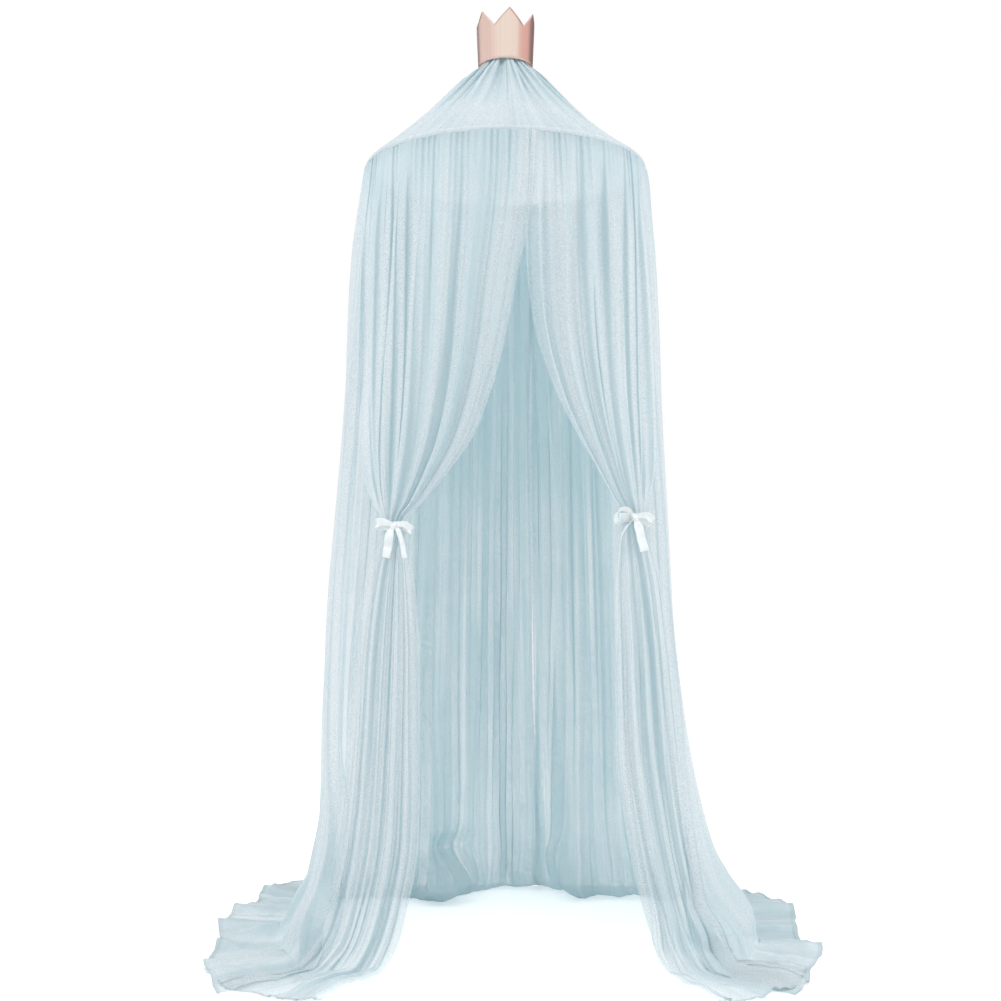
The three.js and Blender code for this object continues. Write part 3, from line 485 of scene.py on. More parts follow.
def smooth_rows(knots, values, at):
    """Rows between the given rows, on a curve that never overshoots them."""
    knots, values, at = np.asarray(knots, float), np.asarray(values, float), np.asarray(at, float)
    wide = (-1,) + (1,) * (values.ndim - 1)
    step = np.diff(knots).reshape(wide)
    slope = np.diff(values, axis=0) / step
    near, far = 2 * step[1:] + step[:-1], step[1:] + 2 * step[:-1]
    with np.errstate(divide="ignore", invalid="ignore"):
        mean = (near + far) / (near / slope[:-1] + far / slope[1:])
    tangent = np.concatenate([slope[:1], np.where(slope[:-1] * slope[1:] > 0, mean, 0), slope[-1:]])
    k = np.clip(np.searchsorted(knots, at, side="right") - 1, 0, len(knots) - 2)
    t = ((at - knots[k]) / np.diff(knots)[k]).reshape(wide)
    h = np.diff(knots)[k].reshape(wide)
    return (values[k] * (1 + 2 * t) * (1 - t) ** 2 + values[k + 1] * t * t * (3 - 2 * t)
            + h * tangent[k] * t * (1 - t) ** 2 - h * tangent[k + 1] * t * t * (1 - t))


def ramp(value, low, high):
    """0 below low, 1 above high and smooth between them."""
    t = np.clip((np.asarray(value, float) - low) / (high - low), 0, 1)
    return t * t * (3 - 2 * t)


def frames_on(places):
    """The unit directions across and out of the cloth at each point of a grid."""
    across = unit(np.gradient(places, axis=1))
    return across, unit(np.cross(across, np.gradient(places, axis=0)))


def pleats(seed, run, fall, spacing, wander, overlap):
    """One family of pleats: how far each point stands out and how far it leans aside, for
    pleats 1 deep. run is metres across the cloth and fall is metres down it."""
    drift = noise(seed, run / spacing / 3.1, fall * 1.3)
    phase = 2 * math.pi * (run / spacing + wander * drift)
    strength = 0.5 + 0.5 * noise(seed + 1, run / spacing / 1.3, fall * 1.9)
    lean = 0.5 + 0.5 * noise(seed + 2, run / spacing / 1.7, fall * 1.1)
    return strength * np.sin(phase), -overlap * lean * strength * np.sin(2 * phase)


# The share this gives also masks the net material's painted shade: near 1 its blue is painted deeper.
def net_density(layers, places, out):
    """How much of the view a net blocks where that many layers lie on each other. Where a fold
    turns away from the face of the cloth, one looks through more of it."""
    turned = np.abs((frames_on(places)[1] * out).sum(2))
    return 1 - (1 - NET_SHARE) ** (layers / np.clip(turned, 0.6, 1))


# Sheer polyester net, knitted and dyed pale blue. Light goes through its holes and glows through
# its threads. The real holes are 1.2 mm wide, drawn twice as coarse. The dye is cloudy, in
# patches some 110 mm wide.
net, node = new_material("sheer polyester net, pale blue")
uv = node("UVMap", uv_map="cloth")
holes = node("TexVoronoi", {"Vector": uv, "Scale": 420}, feature="DISTANCE_TO_EDGE")
thread = node("MapRange", {"Value": holes, "From Max": 0.3, "To Min": 1.22, "To Max": 0.73})
cloud = node("TexNoise", {"Vector": uv, "Scale": 9, "Detail": 5, "Roughness": 0.6})
patch = node("MapRange", {"Value": cloud, "To Min": 0.9, "To Max": 1.1})
# Gathers bunch the threads in bands some 30 mm wide and streaks some 5 mm wide that run down the
# cloth.
for scale, detail, spread in (((34, 0.8, 1), 2, 0.12), ((190, 1.6, 1), 3, 0.08)):
    streak = node("Mapping", {"Vector": uv, "Scale": scale})
    streak = node("TexNoise", {"Vector": streak, "Scale": 1, "Detail": detail})
    bunch = node("MapRange", {"Value": streak, "From Min": 0.3, "From Max": 0.7,
                              "To Min": 1 - spread, "To Max": 1 + spread})
    patch = node("Math", {0: patch, 1: bunch}, operation="MULTIPLY")
layers = node("Attribute", attribute_name="net_share")
share = node("Math", {0: layers.outputs["Fac"], 1: thread}, operation="MULTIPLY")
share = node("Math", {0: share, 1: patch}, operation="MULTIPLY", use_clamp=True)
dye_and_shade = node("Mix", {0: streak, 6: "#E8EBEE", 7: "#F5F5F5"}, data_type="RGBA")
glow = node("Mix", {0: cloud, 6: "#A5C7D1", 7: "#B0D0DA"}, data_type="RGBA")
# Where many layers lie on each other, and in creases that turn away, the blue is painted deeper. Stacked
# dyed threads deepen it a little; the rest is painted shade for the shade that dense gathers and creases
# hold.
gather_and_crease_shade = node("MapRange", {"Value": share, "From Min": 0.93, "From Max": 1.0, "To Max": 0.6})
dye_and_shade = node("Mix", {0: gather_and_crease_shade, 6: dye_and_shade.outputs[2], 7: "#B0D0D7"}, data_type="RGBA")
glow = node("Mix", {0: gather_and_crease_shade, 6: glow.outputs[2], 7: "#8EC0CB"}, data_type="RGBA")
face = node("BsdfPrincipled", {"Base Color": dye_and_shade.outputs[2], "Roughness": 0.75,
                               "Sheen Weight": 0.3, "Sheen Roughness": 0.5})
through = node("BsdfTranslucent", {"Color": glow.outputs[2]})
lit = node("MixShader", {0: 0.34, 1: face, 2: through})
hole = node("BsdfTransparent")
open_net = node("MixShader", {0: share, 1: hole, 2: lit})
node("OutputMaterial", {"Surface": open_net})
studio.cycles.transparent_max_bounces = 64
studio.cycles.max_bounces = 12
studio.cycles.diffuse_bounces = 8

# The gores lie on the outside of the casing, as far off it as their solids are thick.
NET_THICKNESS = 0.0012
GORE_TURN = 360 / GORE_COUNT
# How far the roof sags between crown and hoop, and how much more at the right than on average
ROOF_SAG, RIGHT_SAG = 0.0105, 0.0045
ROOF_LEAN = 0.0075

roof_slope = math.atan2(NECK_FOOT - HOOP_HEIGHT, HOOP_RADIUS - NECK_RADIUS)
seat = CASING_RADIUS + NET_THICKNESS
edge_radius = HOOP_RADIUS + seat * math.sin(roof_slope)
edge_height = HOOP_HEIGHT + seat * math.cos(roof_slope)
slope_length = math.hypot(edge_radius - NECK_RADIUS, NECK_FOOT - edge_height)
in_neck = np.linspace(-NECK_LENGTH, 0, 8)[:-1]
on_slope = slope_length * np.linspace(0, 1, 57) ** 1.15
over_rim = slope_length + np.linspace(0, RIM_TURNED, 9)[1:]
fall = np.concatenate([in_neck, on_slope, over_rim])[:, None]
share = np.clip(fall / slope_length, 0, 1)
radius = NECK_RADIUS + (edge_radius - NECK_RADIUS) * share
height = NECK_FOOT + (edge_height - NECK_FOOT) * share - np.minimum(fall, 0)
over = np.minimum(np.maximum(fall - slope_length, 0) / seat, math.pi / 2 - roof_slope)
below = np.maximum(fall - slope_length, 0) - over * seat
radius = np.where(over > 0, HOOP_RADIUS + seat * np.sin(roof_slope + over), radius)
height = np.where(over > 0, HOOP_HEIGHT + seat * np.cos(roof_slope + over) - below, height)
local = radius / HOOP_RADIUS
tight = np.minimum(1, local * 5)
swell = np.sin(math.pi * share ** 0.45)
gathers = ramp(share, 0.86, 0.99)
under_crown = 1 - ramp(share, 0.2, 0.3)
lap = math.degrees(SEAM_LAP / 2 / HOOP_RADIUS)
for k in range(GORE_COUNT):
    angle = np.linspace(-GORE_TURN * k + lap, -GORE_TURN * (k + 1) - lap, 130)
    base = around(angle, radius, height)
    across, out = frames_on(base)
    out = -out
    run = np.radians(-angle) * HOOP_RADIUS
    sag = (ROOF_SAG + RIGHT_SAG * np.sin(np.radians(angle))) * np.sin(math.pi * share ** 1.3)
    main = ROOF_FOLD * swell * np.sin(2 * math.pi * ROOF_FOLDS * (-angle / GORE_TURN - k))
    wide, lean = pleats(31, run, share * 0.6, WIDE_CREASE, 0.35, 0.6)
    fine, _ = pleats(47, run, share * 0.6, FINE_CREASE, 0.3, 0)
    stand = main - sag + (WIDE_CREASE_DEPTH * wide + FINE_CREASE_DEPTH * fine) * swell * tight
    stand += RIM_GATHER_DEPTH * gathers * np.sin(run / RIM_GATHER * 2 * math.pi)
    stand *= 1 - 0.75 * ramp(share, 0.9, 1)
    stand = stand - under_crown * np.maximum(stand - NET_THICKNESS / 2, 0)
    places = base + out * stand[..., None] + across * (ROOF_LEAN * lean * swell * tight)[..., None]
    layers = np.minimum(ROOF_LAYERS / np.maximum(local, 0.02), NECK_LAYERS)
    layers = layers + RIM_LAYERS * ramp(fall, slope_length - 0.004, slope_length) + 0 * angle
    mesh = turned_mesh(places, density=net_density(layers, places, out))
    gore = add_piece(f"roof_gore_{k + 1}", mesh, net, "net")


# Neck binding: the same woven tape, wound tightly round the gathered neck and stitched to
# itself. It grips the gores and the strap's two ends, and each of its turns bulges a little.
BINDING_WIDTH = 0.011
BINDING_TURNS = 4
BINDING_WALL = 0.0008
BINDING_GAP = 0.00035

turn = np.linspace(0, 360, 97)[:-1]
height = np.linspace(0, 1, 41)
wound = 0.0001 + 0.0009 * np.abs(np.sin(height * math.pi * BINDING_TURNS)) ** 0.6
inside = NECK_RADIUS + NET_THICKNESS / 2 + BINDING_GAP
section = np.stack([inside + BINDING_WALL + wound, height * BINDING_WIDTH], 1)
section = np.concatenate([[[inside, 0]], section, [[inside, BINDING_WIDTH]]])
neck_top = NECK_FOOT + NECK_LENGTH
places = around(turn, section[:, :1], neck_top - BINDING_WIDTH + section[:, 1:])
binding = turned_mesh(places, True, True)
binding.flip_normals()
add_piece("neck_binding", binding, tape, "tape")


# Curtain: four widths of the same net, sewn side by side round the back and sides and
# gathered onto the casing's flange. They fall to the floor and run out along it.
CURTAIN_TOP = 1.6612
CURTAIN_TOP_RADIUS = 0.3078
FOLD_DEPTH = 0.011
FOLDS_PER_WIDTH = 4
# The hanging cloth's outline: share of the hoop's height, then how far out the folds' crests
# reach at the left side, the back, the right side and the front, as shares of its radius
OUTLINE = np.array([
    [1, 1.032, 1.032, 1.032, 1.032], [0.973, 1.055, 1.05, 1.055, 1.05], [0.895, 1.113, 1.07, 1.08, 1.075],
    [0.697, 1.17, 1.13, 1.113, 1.09], [0.54, 1.235, 1.17, 1.167, 1.11], [0.432, 1.285, 1.2, 1.193, 1.12],
    [0.306, 1.325, 1.23, 1.255, 1.14], [0.174, 1.335, 1.255, 1.385, 1.16], [0.085, 1.4, 1.27, 1.53, 1.18],
    [0.03, 1.6, 1.3, 1.77, 1.2],
])[::-1]
# The folds' depth as a share of FOLD_DEPTH, by the share of the hoop's height
FOLD_SHARES = np.array([[1, 0.16], [0.973, 0.4], [0.895, 0.8], [0.697, 1], [0.174, 1.15], [0.03, 0.7]])[::-1]
# The hem's reach on the floor by angle from the back, as a share of the hoop's radius
HEM_REACH = np.array([
    [-128, 2.26], [-111, 2.12], [-95, 2.02], [-81, 2.17], [-66, 2.2], [-58, 2.3], [-50, 2.44],
    [-43, 2.18], [-36, 1.95], [-20, 1.62], [0, 1.55], [20, 1.6], [36, 1.85], [50, 2.31], [63, 2.34],
    [70, 2.33], [83, 2.17], [95, 2.12], [102, 2.2], [113, 2.2], [128, 2.26],
])
# How far the foot of the back is drawn out, by angle, as a share of the hoop's radius
FOOT_REACH = np.array([
    [-60, 0], [-42, -0.02], [-27, -0.11], [-13, -0.03], [2, 0.12], [14, 0.09], [28, -0.07],
    [38, -0.05], [60, 0],
])
# The puffs that it sinks into: angle and half width in degrees, height in metres, and size
PUFFS = ((-26, 9, 0.05, 2.3), (-24, 11, 0.12, -1), (4, 5, 0.06, 0.8), (29, 5, 0.05, 1.1), (20, 3, 0.1, 0.6))
PUFF_HEIGHT, PUFF_DEPTH = 0.032, 0.033
# How many degrees the foot of each side is swept towards the front
FRONT_SWEEP = 14
# From crest to crest of the three kinds of pleats that run down from the gathers
WIDE_PLEAT, MIDDLE_PLEAT, SMALL_PLEAT = 0.061, 0.027, 0.0125
# How deep the long folds of a train are, and how wide and deep its crumples
LONG_FOLD_DEPTH = 0.015
CRUMPLE, CRUMPLE_DEPTH = 0.085, 0.0065
HEM_WIDTH, HEM_FOLD = 0.008, 0.0007


def fold_depth(height):
    """How deep the broad folds are at a height above the floor."""
    return FOLD_DEPTH * np.interp(height / HOOP_HEIGHT, FOLD_SHARES[:, 0], FOLD_SHARES[:, 1])


def hanging_radius(angle, height):
    """How far out the freely hanging cloth is, in the middle of its folds."""
    place = height / HOOP_HEIGHT
    turned = np.where(np.abs(angle) > 180, 360 - np.abs(angle), np.abs(angle))
    left = (angle < 0) != (np.abs(angle) > 180)
    reach = [np.interp(place, OUTLINE[:, 0], OUTLINE[:, k]) for k in (1, 2, 3, 4)]
    side = np.where(left, reach[0], reach[2])
    back = 1 - ramp(turned, 20, 80)
    front = ramp(turned, 105, 150)
    crest = HOOP_RADIUS * ((1 - back - front) * side + back * reach[1] + front * reach[3])
    top = ramp(place, 0.988, CURTAIN_TOP / HOOP_HEIGHT)
    return (crest - fold_depth(height)) * (1 - top) + CURTAIN_TOP_RADIUS * top


def hung_folds(seed, run, fall, main, main_depth, local, low):
    """The folds of gathered net that hangs: broad folds, pleats that run down from the
    gathers and merge, and the fine gathers themselves. Depths follow the cloth's own width."""
    near_top = np.exp(-fall / 0.10)
    opened = ramp(fall, 0.0, 0.22)
    # From crest to crest, how much they wander and overlap, how steep they are at most, how deep
    kinds = (
        (WIDE_PLEAT, 0.45, 0.75, 0.24, 0.0085 * opened * (1 + 0.9 * low)),
        (MIDDLE_PLEAT, 0.5, 0.9, 0.25, (0.0010 + 0.0046 * opened) * (1 + 1.1 * low)),
        (SMALL_PLEAT, 0.45, 0.6, 0.2, 0.0016 * near_top + 0.0013),
    )
    stand, lean = main_depth * main, 0
    for k, (spacing, wander, overlap, steepest, depth) in enumerate(kinds):
        pleat, aside = pleats(seed + 10 * k, run, fall, spacing, wander, overlap)
        depth = np.minimum(depth, steepest * spacing * local)
        stand = stand + depth * pleat
        lean = lean + depth * aside
    return stand, lean


def long_folds(seed, phase, fall, height):
    """The few long, sharp folds that wander across a train where it runs out on the floor."""
    sway = 0.45 * noise(seed, 0.9 * phase, fall * 3)
    sharp = 1 - np.abs(np.sin(math.pi * (phase + sway))) ** 0.6
    size = 0.7 + 0.6 * noise(seed + 1, 1.3 * phase, fall * 2)
    return LONG_FOLD_DEPTH * size * sharp * ramp(-height, -0.3, -0.03)


def fall_along(knots):
    """How far down the cloth each given row lies, in metres."""
    return np.concatenate([[0], np.cumsum(np.linalg.norm(np.diff(knots, axis=0), axis=2).mean(1))])


def hemmed_net(part, places, layers, out):
    """The piece of net, with its last row turned under to make a narrow hem."""
    density = net_density(layers, places, out)
    facing = frames_on(places)[1][-1]
    edge, inward = places[-1], unit(places[-2] - places[-1])
    under = [edge - HEM_FOLD * facing, edge + HEM_WIDTH * inward - NET_THICKNESS * facing]
    places = np.concatenate([places, np.array(under)])
    density = np.concatenate([density, density[-1:], density[-1:]])
    return add_piece(part, turned_mesh(places, density=density), net, "net")


def settled(places, seed, clearance):
    """The cloth as it settles on the floor: crumpled where it lies, and nowhere below the boards."""
    height = places[..., 2] - FLOOR_Z
    lying = 1 - ramp(height, 0.015, 0.07)
    east, north = places[..., 0] / CRUMPLE, places[..., 1] / CRUMPLE
    crumple = noise(seed, east, north) + 0.55 * noise(seed + 1, east * 2.3, north * 2.3)
    crumple += 0.3 * noise(seed + 2, east * 5.1, north * 5.1)
    places = places.copy()
    places[..., 2] = FLOOR_Z + np.maximum(height + lying * CRUMPLE_DEPTH * crumple, clearance)
    return places


SEAM_ANGLES = [-114, -52, 11, 58, 114]
BRIGHT_SEAM = SEAM_ANGLES[2]
CURTAINS = ["curtain_left_side", "curtain_left_back", "curtain_right_back", "curtain_right_side"]
CURTAIN_LAP, LAP_STEP = 0.004, 0.0008
HUNG_SHARES = [1, 0.973, 0.93, 0.84, 0.7, 0.54, 0.4, 0.27, 0.16, 0.08, 0.035]
# The rows on the floor: share of the way out to the hem, and height as a share of FLOOR_LIFT
FLOOR_LIFT = 0.009
FLOOR_ROWS = ((0.1, 1.4), (0.26, 1), (0.6, 0.9), (1, 0.45))
# The net's layers on each other: everywhere, more in the gathers, more at the back (all over,
# in its upper part and at its foot), and more towards the floor in each width
HUNG_LAYERS, GATHER_LAYERS = 2.2, 5.5
# The many layers in the back's upper part also deepen its blue through the net's painted shade, for the
# darker shade inside the canopy's top.
BACK_LAYERS, BACK_TOP_LAYERS, BACK_FOOT_LAYERS = 3.4, 10, 4
LOW_LAYERS = (2.5, 2.5, 2.5, 4)
for k, name in enumerate(CURTAINS):
    rows, columns = 170, 230
    start, end = SEAM_ANGLES[k], SEAM_ANGLES[k + 1]
    lap = math.degrees(CURTAIN_LAP / HOOP_RADIUS)
    angle = np.linspace(end + lap * (k < 3), start - lap * (k > 0), columns)
    sweep = FRONT_SWEEP * np.sign(angle) * ramp(np.abs(angle), 72, 114)
    drawn = HOOP_RADIUS * smooth_rows(FOOT_REACH[:, 0], FOOT_REACH[:, 1], np.clip(angle, -60, 60))
    radii, heights, turns = [], [], []
    for share in HUNG_SHARES:
        height = CURTAIN_TOP if share == 1 else share * HOOP_HEIGHT
        foot = 1 - ramp(height, 0.08, 0.5)
        radii.append(hanging_radius(angle, height) + drawn * foot)
        heights.append(height)
        turns.append(angle + sweep * foot)
    hem = HOOP_RADIUS * smooth_rows(HEM_REACH[:, 0], HEM_REACH[:, 1], angle + sweep)
    hem = hem * (1 + 0.012 * noise(6, np.radians(angle) * 9, 0))
    lowest = radii[-1]
    for share, lift in FLOOR_ROWS:
        radii.append(lowest + (hem - lowest) * share)
        heights.append(lift * FLOOR_LIFT)
        turns.append(angle + sweep)
    knots = around(np.array(turns), np.array(radii), np.array(heights)[:, None])
    fallen = fall_along(knots)
    fall = np.linspace(0, 1, rows)
    fall = fallen[-1] * (0.75 * fall + 0.25 * (1 - (1 - fall) ** 2))
    base = smooth_rows(fallen, knots, fall)
    across, out = frames_on(base)
    fall = fall[:, None]
    run = np.radians(angle) * HOOP_RADIUS
    local = np.linalg.norm(np.gradient(base, axis=1), axis=2) / abs(run[1] - run[0])
    u = (angle - end) / (start - end)
    height = base[..., 2] - FLOOR_Z
    rear = 1 - ramp(np.abs(angle), 35, 75)
    main_depth = 0.8 * fold_depth(np.maximum(height, 0.05)) * (1 + 0.8 * (1 - rear) * np.exp(-height / 0.25))
    sway = 0.16 * noise(141 + k, 5 * u, fall * 1.1) * ramp(fall, 0.05, 0.5)
    main = np.sin(2 * math.pi * (FOLDS_PER_WIDTH * u + sway))
    stand, lean = hung_folds(101, run, fall, main, main_depth, local,
                            (1 - ramp(height, 0.05, 0.5)) * (1 - 0.7 * rear))
    lying = ramp(-height, -0.06, -0.012)
    stand *= 1 - (0.35 + 0.4 * np.exp(-(angle / 42) ** 4)) * lying
    stand *= 1 - 0.45 * rear * ramp(-height, -0.45, -0.12)
    stand += (1 - rear) * long_folds(181 + k, 3.3 * u, fall, height)
    lean = lean * (1 - 0.6 * lying)
    # Just above the floor the cloth that is too long sinks into puffs, most of all at the back.
    puff = np.exp(-((height - 0.05) / 0.035) ** 2) * (0.35 + noise(151, run / 0.075, fall))
    puff += 0.8 * np.exp(-((height - 0.11) / 0.05) ** 2) * noise(152, run / 0.12, fall)
    for puff_turn, wide, rise, size in PUFFS:
        away = ((angle - puff_turn) / wide) ** 2
        puff += size * np.exp(-away - ((height - rise) / PUFF_HEIGHT) ** 2)
    places = base - out * (stand - PUFF_DEPTH * puff)[..., None] + across * lean[..., None]
    # Neighbours lie at different heights on the floor, so that their laps don't meet.
    places = settled(places, 161, NET_THICKNESS + LAP_STEP * (k % 2))
    layers = HUNG_LAYERS + GATHER_LAYERS * np.exp(-fall / 0.08)
    layers = layers + rear * (BACK_LAYERS + BACK_TOP_LAYERS * ramp(height, 0.85, 1.35)
                              + BACK_FOOT_LAYERS * np.exp(-height / 0.06))
    layers = layers + (LOW_LAYERS[k] - 1.5 * rear) * (1 - ramp(height, 0.02, 0.4))
    # Along the seam between the two back widths fewer layers are counted, so a narrow upright band there
    # shows bright.
    seam = np.exp(-((run / HOOP_RADIUS - math.radians(BRIGHT_SEAM)) / 0.009) ** 2)
    seam = seam * ramp(fall, 0.1, 0.4) * ramp(height, 0.1, 0.5)
    curtain = hemmed_net(name, places, layers * (1 - 0.9 * seam), out)


# Front panels: the last two widths. Their doorway edges lap at the top, the left one in front.
# Each is drawn back and tied in a flat bundle, and spreads below it into a train.
PANEL_FOLDS = 5
PANEL_LIFT, PANEL_CLEARANCE = 0.013, 0.0022
PANEL_LAP = 0.003
RIBBON_WIDTH = 0.018
BUNDLE_WIDTH = 0.055
BUNDLE_DEPTH = 0.008
# The rows above the tie, as shares of the way up to the casing
DROPS = np.array([1, 0.965, 0.88, 0.76, 0.62, 0.48, 0.34, 0.21, 0.12, 0.05, 0])
# Below the tie: share of the tie's height, the outer side's x and y, the inner side's x and y and
# the bow between them as shares of the hoop's radius, and the depth as a share of FOLD_DEPTH
LEFT_SPREAD = [
    [0.93, -0.9, -0.77, -0.635, -0.885, 0.02, 0.75], [0.86, -0.963, -0.72, -0.6, -0.907, 0.04, 0.8],
    [0.71, -1.04, -0.683, -0.563, -0.917, 0.07, 0.95], [0.5, -1.083, -0.65, -0.558, -0.917, 0.09, 1],
    [0.3, -1.15, -0.633, -0.567, -0.9, 0.1, 1], [0.13, -1.267, -0.667, -0.65, -0.873, 0.11, 0.9],
    [0.05, -1.367, -0.717, -0.717, -0.883, 0.13, 0.7], [0, -1.483, -0.74, -0.8, -0.97, 0.15, 0],
    [0, -1.72, -0.8, -0.95, -1.233, 0.18, 0], [0, -1.95, -0.86, -1.1, -1.56, 0.18, 0],
]
RIGHT_SPREAD = [
    [0.93, 0.985, -0.77, 0.745, -0.88, 0.02, 0.75], [0.86, 1.04, -0.717, 0.72, -0.9, 0.04, 0.8],
    [0.71, 1.093, -0.683, 0.715, -0.917, 0.07, 0.95], [0.5, 1.15, -0.667, 0.715, -0.917, 0.09, 1],
    [0.3, 1.217, -0.65, 0.793, -0.9, 0.1, 1], [0.13, 1.35, -0.697, 0.9, -0.873, 0.11, 0.9],
    [0.05, 1.45, -0.747, 0.97, -0.9, 0.13, 0.7], [0, 1.567, -0.77, 1.04, -1, 0.14, 0],
    [0, 1.78, -0.8, 1.14, -1.3, 0.19, 0], [0, 1.94, -0.85, 1.28, -1.59, 0.17, 0],
]
# How far the doorway edge is drawn towards the tie, by how far down it is
EDGE_PULL = {
    "left": np.array([[0, 0], [0.168, 0.02], [0.27, 0.08], [0.397, 0.156], [0.542, 0.24], [0.672, 0.353],
                      [0.772, 0.467], [0.9, 0.744], [1, 1]]),
    "right": np.array([[0, 0], [0.25, 0.02], [0.406, 0.056], [0.516, 0.118], [0.607, 0.218], [0.72, 0.392],
                       [0.816, 0.595], [0.923, 0.846], [0.97, 0.94], [1, 1]]),
}
# A panel's angles at the hoop, at its seam and at its doorway edge, the tie's x, y, height and
# turn, how far the edge stands off the other where they lap, and the rows below the tie
PANELS = {
    "left": (-114, -191, -0.224, -0.250, 0.874, 21.5, 0.008, LEFT_SPREAD),
    "right": (114, 174, 0.2545, -0.250, 0.891, 21.5, 0, RIGHT_SPREAD),
}
# The net's layers on each other in a panel at the hoop, the share fewer in its bundle, how many
# more lie on the floor, and the share of its width that thins out to the doorway edge
PANEL_LAYERS = {"left": (4.8, 0.2, 0.2, 0.1), "right": (4, 0, 1.2, 0.32)}
PANEL_SEEDS = {"left": 211, "right": 307}


def tie_frame(side):
    """The middle of a bundle, the way across it to the doorway side, and the way out of it."""
    _, _, x, y, height, turn, _, _ = PANELS[side]
    inner, turn = -np.sign(x), math.radians(turn)
    along = np.array([inner * math.cos(turn), -math.sin(turn), 0])
    out = np.array([-inner * math.sin(turn), -math.cos(turn), 0])
    return np.array([x, y, height - HANG_HEIGHT]), along, out


for side, (start, end, x, y, tie_height, _, standoff, spread) in PANELS.items():
    rows, columns = 250, 330
    hand = np.sign(x)
    u = np.linspace(0, 1, columns)
    middle, along, away = tie_frame(side)
    lap = math.degrees(PANEL_LAP / HOOP_RADIUS)
    angle = start - hand * lap + (end - start + hand * lap) * u
    band = RIBBON_WIDTH / 2 + PIECE_GAP
    knots, depths = [], []
    for k, drop in enumerate([*DROPS, 0]):
        height = tie_height - band
        if k < len(DROPS):
            height = tie_height + band + (CURTAIN_TOP - tie_height - band) * drop
        clear = standoff * ramp(u, 0.6, 0.9) * drop
        free = around(angle, hanging_radius(angle, height) + clear, height)
        tied = middle + along * (BUNDLE_WIDTH * (u - 0.5))[:, None]
        tied[:, 2] = height - HANG_HEIGHT
        down = 1 - drop
        edge_pull = smooth_rows(EDGE_PULL[side][:, 0], EDGE_PULL[side][:, 1], [down])[0]
        pull = (down ** 6 + (edge_pull - down ** 6) * u)[:, None]
        flat = 1 - 0.85 * ramp(u, 0.7, 0.95) * drop
        bundle = BUNDLE_DEPTH * (0.55 + 0.45 * np.sin(math.pi * u))
        knots.append(free + (tied - free) * pull)
        depths.append(fold_depth(height) * flat * (1 - pull[:, 0]) + bundle * pull[:, 0])
    for k, (share, outer_x, outer_y, inner_x, inner_y, bow, depth) in enumerate(spread):
        outer = np.array([outer_x, outer_y, 0]) * HOOP_RADIUS
        inner = np.array([inner_x, inner_y, 0]) * HOOP_RADIUS
        across = (inner - outer) / np.linalg.norm(inner - outer)
        out = np.array([hand * abs(across[1]), -abs(across[0]), 0])
        row = outer + (inner - outer) * u[:, None] + out * (HOOP_RADIUS * bow * 4 * u * (1 - u))[:, None]
        row[:, 2] = max(share * tie_height, PANEL_LIFT) - HANG_HEIGHT
        if share == 0:
            ragged = 0.014 * noise(9, u * 7, 0) + 0.006 * noise(10, u * 19, 0)
            row[:, :2] *= (1 + ragged)[:, None]
            row[:, 2] -= (0.5 if k == len(spread) - 1 else 0) * PANEL_LIFT
        knots.append(row)
        depths.append((FOLD_DEPTH * depth if depth else 0.005) + 0 * u)
    knots, depths = np.array(knots), np.array(depths)
    fallen = fall_along(knots)
    fall = np.linspace(0, fallen[-1], rows)
    base = smooth_rows(fallen, knots, fall)
    depth = smooth_rows(fallen, depths, fall)
    across, out = frames_on(base)
    out = out * -hand
    fall = fall[:, None]
    width = math.radians(abs(end - start)) * HOOP_RADIUS
    run = u * width
    local = np.linalg.norm(np.gradient(base, axis=1), axis=2) * (columns - 1) / width
    seed = PANEL_SEEDS[side]
    sway = 0.3 * noise(seed + 30, 4 * u, fall * 1.2) * ramp(fall, 0.05, 0.4)
    main = np.sin(2 * math.pi * (PANEL_FOLDS * u + sway))
    height = base[..., 2] - FLOOR_Z
    bundled = 1 - ramp(height, tie_height - 0.02, tie_height + 0.1)
    wander = 0.035 * noise(seed + 50, run / 0.16, fall / 0.2) * ramp(-height, -0.12, -0.01)
    stand, lean = hung_folds(seed, run + wander, fall, main, (0.5 - 0.2 * bundled) * depth, local,
                             0.8 * (1 - ramp(height, 0.05, 0.5)))
    stand *= 1 - 0.7 * bundled * (1 - ramp(u, 0, 0.3))
    stand *= 1 - 0.35 * ramp(-height, -0.05, -0.012) - 0.3 * ramp(fall, fallen[-1] - 0.25, fallen[-1])
    stand += long_folds(seed + 60, 3.6 * u, fall, height)
    places = base + out * stand[..., None] + across * lean[..., None]
    places = settled(places, seed + 40, PANEL_CLEARANCE)
    layers, less_in_bundle, more_on_floor, thinned = PANEL_LAYERS[side]
    layers = np.clip(layers / np.maximum(local, 0.1), 4, 4.9) + 6 * np.exp(-fall / 0.08)
    layers = layers * (1 - bundled * (less_in_bundle + 0.65 * (1 - ramp(u, 0, 0.5))))
    layers = layers + more_on_floor * ramp(-height, -0.3, -0.05)
    panel = hemmed_net(f"front_panel_{side}", places, layers * (0.3 + 0.7 * ramp(1 - u, 0.01, thinned)), out)


# Ties: white satin ribbon. Each runs round its bundle and its ends are made up in a bow on
# the band's face, with a knot, two loops and two tails cut across.
satin, node = new_material("white polyester satin ribbon")
uv = node("UVMap", uv_map="cloth")
